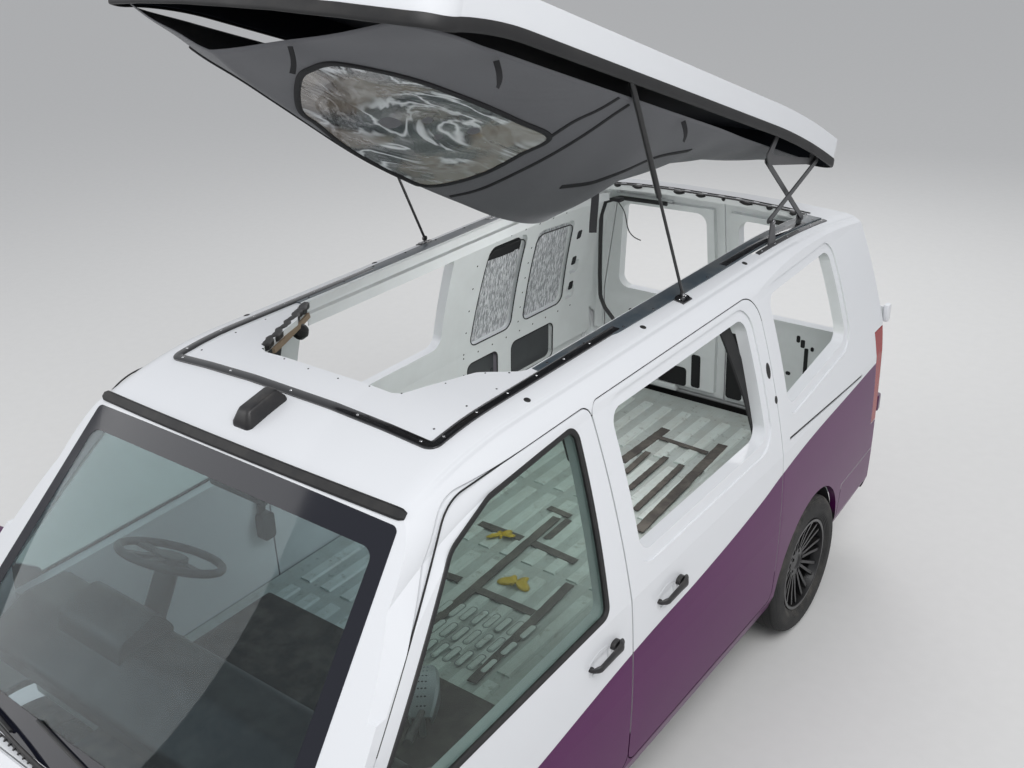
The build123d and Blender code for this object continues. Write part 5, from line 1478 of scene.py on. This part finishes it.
class CAMPER_OT_floor(bpy.types.Operator):
    """Adhesive strips, pressed ribs, cab floor, scraps and handbrake"""

    bl_idname = "camper.floor"
    bl_label = "Floor Details"

    def execute(self, context):
        width = context.scene.camper_sizes.strip_width * 500
        parts = []
        for x1, s1, x2, s2, share in FLOOR_STRIPS:
            t = np.linspace(0, 1, 30)
            ragged = 1.6 * np.sin(t * 43 + s1) + 1.1 * np.sin(t * 97)
            path = place(x1 + (x2 - x1) * t + ragged * 0.6, s1 + (s2 - s1) * t, FLOOR_TOP + 0 * t)
            half = width * share
            parts.append(carried(path, (0, 0, 1),
                                 ((-half, -1), (-half + 1, 2.2), (half - 1, 2.8), (half, -1))))
        mesh_object("floor_strips", parts, "van", "strip")
        ribs = []
        for x, s in PRESSED_RIBS:
            outline = rounded_box(x - 13, x + 13, s - 50, s + 50, 12.9, 8)
            middle = outline.mean(0)
            rows = [place(*(middle + (outline - middle) * share).T, FLOOR_TOP + rise - 1)
                    for share, rise in ((1.0, 0), (0.93, 3.4), (0.8, 4.8), (0.45, 5.2))]
            ribs.append(lofted(rows))
        mesh_object("pressed_ribs", ribs, "van", "bare")
        # Slightly larger darker rings under the ribs: painted shadow round their feet.
        rings = [floor_plate(rounded_box(x - 18, x + 18, s - 55, s + 55, 17.9, 8), FLOOR_TOP - 1,
                             FLOOR_TOP + 0.4)
                 for x, s in PRESSED_RIBS]
        mesh_object("rib_shadow_rings", rings, "van", "rib_shade")
        mat = rounded(((-800, 1462, 20), (800, 1462, 20), (800, 2046, 12), (-800, 2046, 12)))
        mesh_object("cab_mat", [floor_plate(mat, FLOOR_TOP - 1, FLOOR_TOP + 3)], "van", "mat")
        self.scraps()
        self.handbrake()
        return {"FINISHED"}

    def scraps(self):
        """Torn yellow wrapping: irregular flat stars with curled edges."""
        parts = []
        for x, s, turn, size in ((-220, 2990, 0.4, 62), (60, 2720, 1.3, 74)):
            angle = np.linspace(0, 2 * math.pi, 48, endpoint=False)
            reach = size * (0.55 + 0.38 * np.sin(2 * angle + turn) + 0.22 * np.sin(5 * angle + 2 * turn))
            reach = np.maximum(reach, 12)
            rows = []
            for share, rise in ((1.0, 6), (0.75, 13), (0.4, 6), (0.05, 9)):
                lift = rise + 5 * np.sin(3 * angle + turn * 4) * share
                rows.append(place(x + reach * share * np.cos(angle), s + 1.3 * reach * share * np.sin(angle),
                                  FLOOR_TOP + 3 + np.maximum(lift, 1)))
            faces = grid_faces(4, 48, False, True) + [list(range(3 * 48, 4 * 48))]
            parts.append((np.vstack(rows), faces))
        scraps = mesh_object("yellow_scraps", parts, "van", "yellow")
        with_modifier(scraps, "SOLIDIFY", thickness=0.0008, offset=0)

    def handbrake(self):
        """Perforated tapered bracket, its holes painted dark as shade, with the lever ahead of it."""
        t = np.linspace(0, 1, 24)
        path = place(150 + 190 * t, 2000 - 240 * t, 640 + 40 * np.sin(t * 2.6))
        width = (40 + 26 * np.sin(t * math.pi) ** 0.8)[:, None, None]
        profile = np.array(((-1, -0.9), (-1, 0.15), (-0.8, 0.3), (0.8, 0.3), (1, 0.15), (1, -0.9),
                            (0.9, -0.9), (0.85, 0.1),
                            (-0.85, 0.1), (-0.9, -0.9)))
        bracket = carried(path, (0, 0, 1), profile[None] * width)
        # The bracket's perforations are dark discs painted as the shade inside the holes.
        holes = []
        for share in np.linspace(0.12, 0.88, 7):
            for across in (-14, 0, 14):
                k = int(share * 23)
                centre = path[k] + np.array((across * 0.00078, across * 0.00062, 0.0))
                lift = 0.3 * width[k, 0, 0] / 1000
                holes.append(dome(centre + np.array((0, 0, lift)), (0, 0, 1),
                                  ((4.5, -1), (4.5, 0.5), (3.5, 0.8)), 12))
        mesh_object("handbrake_bracket", [bracket], "van", "zinc")
        mesh_object("handbrake_hole_shades", holes, "van", "dark")
        lever = carried(place(336 + 106 * t, 1772 - 190 * t, 682 + 60 * t), (0, 0, 1),
                        round_profile(26, 22, 14))
        grip = carried(place(400 + 48 * t, 1658 - 86 * t, 719 + 26 * t), (0, 0, 1), round_profile(36, 32, 14))
        mesh_object("handbrake_lever", [lever, grip], "van", "black")
        post = carried(place(150 + 0 * t, 1996 + 0 * t, 580 + 55 * t), (0, 1, 0), round_profile(30, 30, 12))
        post2 = carried(place(340 + 0 * t, 1765 + 0 * t, 580 + 90 * t), (0, 1, 0), round_profile(26, 26, 12))
        mesh_object("handbrake_posts", [post, post2], "van", "zinc")


class CAMPER_OT_inside(bpy.types.Operator):
    """Foil matting, dark pockets, holes painted near black as shade, seals and belt on the inner sides"""

    bl_idname = "camper.inside"
    bl_label = "Inner Sides"

    def execute(self, context):
        foils = [inner_patch(grown(rounded(outline), -4), 29, 2, -1) for outline in BLIND_PANELS]
        mesh_object("foil_matting", foils, "van", "foil")
        top = rounded(((3612, 1600, 4), (3640, 1728, 42), (3938, 1728, 42), (3938, 1650, 4)))
        mesh_object("foil_header", [inner_patch(top, 30, 4, -1)], "van", "dark")
        pockets = [inner_patch(rounded(outline), 28, 3, side) for outline in POCKETS for side in (1, -1)]
        mesh_object("pocket_matting", pockets, "van", "matting")
        edges = [self.edging(outline, side) for outline in POCKETS for side in (1, -1)]
        edges += [self.edging(outline, -1) for outline in BLIND_PANELS]
        mesh_object("pocket_edging", edges, "van", "seal")
        holes = [inner_patch(rounded_box(s - a, s + a, z - b, z + b, 10), 59, 2, side)
                 for s, z, a, b in INNER_HOLES for side in (1, -1)]
        # Small round holes in the inner panels, painted near black as the shade inside them.
        small = [(s, z) for s in range(3560, 4560, 118) for z in (1130, 1786)]
        small += [(4010, z) for z in range(1200, 1700, 90)] + [(3560, z) for z in range(900, 1700, 130)]
        holes += [inner_patch(ellipse(s, z, 5, 5, 12), 59.4, 1, -1) for s, z in small]
        mesh_object("inner_holes", holes, "van", "dark")
        # Openings in the rear doors' inner panels: plates painted near black as the shade behind them.
        for side, word in ((1, "left"), (-1, "right")):
            openings = []
            for low, high, bottom, top, radius in REAR_DOOR_HOLES:
                if low * side > 0:
                    hole = rounded_box(low, high, bottom, top, radius, 6)
                    depth = 4791 + np.interp(hole[:, 1], (640, 1130), (13.5, 0))
                    openings.append(plate(place(hole[:, 0], depth - 1.5, hole[:, 1]),
                                          place(hole[:, 0], depth + 2, hole[:, 1])))
            mesh_object(f"rear_door_opening_shades_{word}", openings, f"door_rear_{word}", "dark")
        self.arch_liners()
        self.door_seal()
        self.belts()
        return {"FINISHED"}

    def edging(self, outline, side):
        """Thin dark bead round a pocket's rim."""
        loop = evenly(rounded(outline), 120)
        path, out = on_side(loop, -60.0, side)
        return carried(path, -out, ((-3, -2), (-3, 1.5), (3, 1.5), (3, -2)), True, path.mean(0))

    def arch_liners(self):
        """Thin near-black bands behind the rear tyres, in the liners' place and standing in for the shade
        under the van: two arcs about the axle, drawn out across the wheel box.
        """
        turn = np.radians(np.concatenate([np.linspace(4, 52, 40), np.linspace(52, 4, 40)]))
        reach = np.repeat((399.5, 396.5), 40)
        liner = np.stack([REAR_AXLE + reach * np.cos(turn), AXLE_HEIGHT + reach * np.sin(turn)], -1)
        liners = [plate(place(side * 640, *liner.T), place(side * 880, *liner.T)) for side in (1, -1)]
        mesh_object("rear_arch_shade_liners", liners, "van", "dark")

    def door_seal(self):
        """Black rubber on the pillar behind the sliding door and round the rear opening."""
        t = np.linspace(0, 1, 30)
        s = np.interp(t, (0, 0.5, 1), (3268, 3350, 3410))
        z = np.interp(t, (0, 0.5, 1), (1800, 1490, 1150))
        x = side_reach(z, s) - 66
        path = place(x, s, z)
        parts = [carried(path, (-1, 0, 0), ((-34, -4), (-37, 3), (-26, 7), (26, 7), (37, 3), (34, -4)))]
        for side in (1, -1):
            keys = np.array(((560, 960), (641, 1046), (694, 1100), (723, 1163), (727, 1300), (724, 1505),
                             (718, 1660),
                             (690, 1740), (600, 1776), (300, 1784)), float)
            path = evenly(keys, 60, False)
            points = place(side * path[:, 0], 4640 + 0 * path[:, 0], path[:, 1])
            parts.append(carried(points, (0, -1, 0), ((-10, -6), (-12, 4), (0, 12), (12, 4), (10, -6))))
        mesh_object("opening_seals", parts, "van", "seal")

    def belts(self):
        """Belt webbing down both pillars behind the front doors, with its guide."""
        for side, word in ((1, "left"), (-1, "right")):
            t = np.linspace(0, 1, 30)
            s = 2180 - 60 * t
            z = 1784 - 860 * t
            path, out = on_side(np.stack([s, z], -1), -76.0, side)
            webbing = carried(path, -out, ((-23, -1), (-23, 1), (23, 1), (23, -1)))
            mesh_object(f"belt_{word}", [webbing], "van", "webbing")
            guide = inner_patch(rounded_box(2146, 2214, 1700, 1800, 12), 66, 18, side)
            reel = inner_patch(rounded_box(2090, 2160, 800, 930, 20), 66, 46, side)
            mesh_object(f"belt_fittings_{word}", [guide, reel], "van", "black")


# Fittings


class CAMPER_OT_fittings(bpy.types.Operator):
    """Mirror glass, lamp bowls and bulbs, strut feet, linkage bolts and the inner mirror's glass"""

    bl_idname = "camper.fittings"
    bl_label = "Fittings"

    def execute(self, context):
        for side, word in ((1, "left"), (-1, "right")):
            outline = rounded(((1016, 1144, 30), (1138, 1144, 34), (1138, 1336, 34), (1016, 1336, 40)), 8)
            s = 1086 - (outline[:, 0] - 1006) * 0.12
            low = place(side * outline[:, 0], s - 4, outline[:, 1])
            high = place(side * outline[:, 0], s + 1.2, outline[:, 1])
            mesh_object(f"mirror_glass_{word}", [plate(low, high)], f"door_front_{word}", "mirror")
            self.headlamp(side, word)
        self.strut_feet()
        self.bolts()
        self.inner_mirror_glass()
        return {"FINISHED"}

    def headlamp(self, side, word):
        """Two reflector bowls with bulbs, inside the clear lens."""
        bowls, bulbs = [], []
        for x, z, radius in ((548, 766, 62), (724, 782, 74)):
            front = 30 + (x / 940) ** 6 * 560
            centre = place(side * x, front + 46, z)
            aim = unit(np.array((side * 0.10, -1.0, 0.0)))
            profile = [(radius * math.sin(a), -radius * 0.55 * math.cos(a))
                       for a in np.linspace(0.06, math.pi / 2, 10)]
            profile += [(radius + 5, 4), (radius + 5, -6)]
            bowls.append(dome(centre, aim, profile, 32))
            bulbs.append(dome(centre - aim * 0.02, aim, ((7, -12), (9, 0), (8, 14), (3, 20)), 16))
        mesh_object(f"lamp_bowls_{word}", bowls, "van", "bowl", mend=False)
        mesh_object(f"lamp_bulbs_{word}", bulbs, "van", "steel")

    def strut_feet(self):
        """Oval bracket plates with ball studs and screw heads."""
        plates, balls = [], []
        for side in (1, -1):
            ring = ellipse(0, 0, 26, 38, 30)
            x, s = side * STRUT_FOOT[0] + ring[:, 0], STRUT_FOOT[1] + ring[:, 1]
            low = along_roof(x, s, np.full(30, 3.0))[0]
            high = along_roof(x, s, np.full(30, 6.5))[0]
            plates.append(plate(low, high))
            centre, out = along_roof(side * STRUT_FOOT[0], STRUT_FOOT[1], np.array(6.0))
            balls.append(dome(centre, out, ((9, -2), (9, 3), (5, 5), (5, 9), (8, 12), (8, 17), (3, 20)), 18))
            for offset in (-24, 24):
                balls.append(screw(side * STRUT_FOOT[0], STRUT_FOOT[1] + offset, 6.5, 5))
        mesh_object("strut_plates", plates, "van", "gloss")
        mesh_object("strut_studs", balls, "van", "steel")

    def bolts(self):
        """Hexagon heads with washers on the linkage's fixed pins and along its feet."""
        heads = []
        for side in (1, -1):
            for x, s, z in ((663, 3846, 2047), (597, 4270, 1950)):
                aim = (side if x > 628 else -side, 0, 0)
                heads.append(dome(place(side * x, s, z), aim, ((11, -2), (11, 1), (8, 1.2), (8, 6), (6, 7)),
                                  6))
            for s in range(3740, 4440, 130):
                for x in (594, 664):
                    heads.append(screw(side * x, s, 4, 5.5))
        mesh_object("linkage_bolts", heads, "van", "steel")

    def inner_mirror_glass(self):
        """Glass on the inner mirror's rear face."""
        outline = rounded(((-118, 1702, 12), (118, 1702, 12), (112, 1754, 14), (-112, 1754, 14)), 6)
        s = 1377 - (outline[:, 1] - 1694) * 0.143
        low = place(outline[:, 0], s - 1, outline[:, 1])
        high = place(outline[:, 0], s + 1, outline[:, 1])
        mesh_object("inner_mirror_glass", [plate(low, high)], "van", "mirror")


# Camera and stage


def camera_matrix():
    """Camera axes from yaw about Z, pitch down and roll: right, up and backward as columns."""
    yaw, pitch, roll = (math.radians(v) for v in (CAMERA_YAW, CAMERA_PITCH, CAMERA_ROLL))
    ahead = Vector((math.sin(yaw) * math.cos(pitch), math.cos(yaw) * math.cos(pitch), -math.sin(pitch)))
    right = ahead.cross(Vector((0, 0, 1))).normalized()
    up = right.cross(ahead)
    turned_right = math.cos(roll) * right + math.sin(roll) * up
    turned_up = -math.sin(roll) * right + math.cos(roll) * up
    turn = Matrix((turned_right, turned_up, -ahead)).transposed().to_4x4()
    return Matrix.Translation(CAMERA_PLACE) @ turn


def area_light(name, place_at, target, size, power, colour=(1, 1, 1)):
    lamp = bpy.data.lights.new(name, "AREA")
    lamp.shape = "DISK"
    lamp.size = size
    lamp.energy = power
    lamp.color = colour
    obj = bpy.data.objects.new(name, lamp)
    bpy.context.scene.collection.objects.link(obj)
    obj.location = place_at
    obj.rotation_euler = (Vector(target) - Vector(place_at)).to_track_quat("-Z", "Y").to_euler()


class CAMPER_OT_stage(bpy.types.Operator):
    """Add the camera, soft lights, sky and pale floor"""

    bl_idname = "camper.stage"
    bl_label = "Camera and Stage"

    def execute(self, context):
        scene = context.scene
        scene.view_settings.view_transform = "Standard"
        data = bpy.data.cameras.new("camera")
        data.sensor_width = 36
        data.lens = CAMERA_FOCUS / PICTURE_WIDTH * 36
        data.shift_x = CAMERA_SHIFT[0] / PICTURE_WIDTH
        data.shift_y = CAMERA_SHIFT[1] / PICTURE_WIDTH
        data.clip_end = 900
        camera = bpy.data.objects.new("camera", data)
        scene.collection.objects.link(camera)
        camera.matrix_world = camera_matrix()
        scene.camera = camera

        world = bpy.data.worlds.new("studio")
        scene.world = world
        world.use_nodes = True
        tree = world.node_tree
        tree.nodes.clear()
        path = tree.nodes.new("ShaderNodeLightPath")
        seen = math_node(tree, "MAXIMUM", path.outputs["Is Camera Ray"], path.outputs["Is Transmission Ray"])
        up = add(tree, "SeparateXYZ", {0: add(tree, "TexCoord").outputs["Generated"]}).outputs[2]
        sky = mix_colour(tree, smoothstep(tree, up, -0.1, 0.5), (0.62, 0.62, 0.62), (0.80, 0.82, 0.86))
        lit = add(tree, "Background", {0: sky, 1: 0.70})
        white = add(tree, "Background", {0: (1, 1, 1, 1), 1: 1.0})
        mixed = add(tree, "MixShader", {0: seen, 1: lit.outputs[0], 2: white.outputs[0]})
        out = tree.nodes.new("ShaderNodeOutputWorld")
        tree.links.new(mixed.outputs[0], out.inputs[0])

        area_light("key", (4.5, -2.5, 7.5), (0, 0.3, 1.2), 5.0, 340)
        area_light("fill", (-6.0, -5.0, 5.0), (0, 0, 1.2), 6.0, 140)
        area_light("back", (-2.0, 7.0, 6.0), (0, 0.5, 1.5), 5.0, 150)
        area_light("inside", (0.42, 0.9, 1.86), (-0.9, 1.2, 1.0), 0.8, 9)

        size = 300
        corners = [(-size, -size, 0), (size, -size, 0), (size, size, 0), (-size, size, 0)]
        mesh = bpy.data.meshes.new("floor")
        mesh.from_pydata(corners, [], [(0, 1, 2, 3)])
        floor = bpy.data.objects.new("floor", mesh)
        scene.collection.objects.link(floor)
        material, tree, shader = new_material("studio_floor")
        grain = add(tree, "TexNoise", {"Vector": object_point(tree), "Scale": 14.0, "Detail": 6.0})
        tree.links.new(mix_colour(tree, grain.outputs[0], (0.74, 0.735, 0.72), (0.70, 0.695, 0.68)),
                       shader.inputs["Base Color"])
        shader.inputs["Roughness"].default_value = 0.9
        mesh.materials.append(material)
        return {"FINISHED"}


OPERATORS = (
    CAMPER_OT_stage,
    CAMPER_OT_finishes,
    CAMPER_OT_cable,
    CAMPER_OT_windscreen,
    CAMPER_OT_sides,
    CAMPER_OT_roof,
    CAMPER_OT_canvas,
    CAMPER_OT_floor,
    CAMPER_OT_inside,
    CAMPER_OT_fittings,
)


class CAMPER_PT_panel(bpy.types.Panel):
    """Lists the camper's builders in the sidebar."""

    bl_label = "Camper Van"
    bl_idname = "CAMPER_PT_panel"
    bl_space_type = "VIEW_3D"
    bl_region_type = "UI"
    bl_category = "Camper"

    def draw(self, context):
        for group in (context.scene.camper_finish, context.scene.camper_sizes):
            for name in group.bl_rna.properties.keys():
                if name not in ("rna_type", "name"):
                    self.layout.prop(group, name)
        for operator in OPERATORS:
            self.layout.operator(operator.bl_idname)


CLASSES = (CamperFinish, CamperSizes, *OPERATORS, CAMPER_PT_panel)


def register():
    for cls in CLASSES:
        bpy.utils.register_class(cls)
    bpy.types.Scene.camper_finish = bpy.props.PointerProperty(type=CamperFinish)
    bpy.types.Scene.camper_sizes = bpy.props.PointerProperty(type=CamperSizes)


def unregister():
    del bpy.types.Scene.camper_sizes
    del bpy.types.Scene.camper_finish
    for cls in reversed(CLASSES):
        bpy.utils.unregister_class(cls)


def main():
    register()
    for operator in OPERATORS:
        group, name = operator.bl_idname.split(".")
        getattr(getattr(bpy.ops, group), name)()


if __name__ == "__main__":
    main()
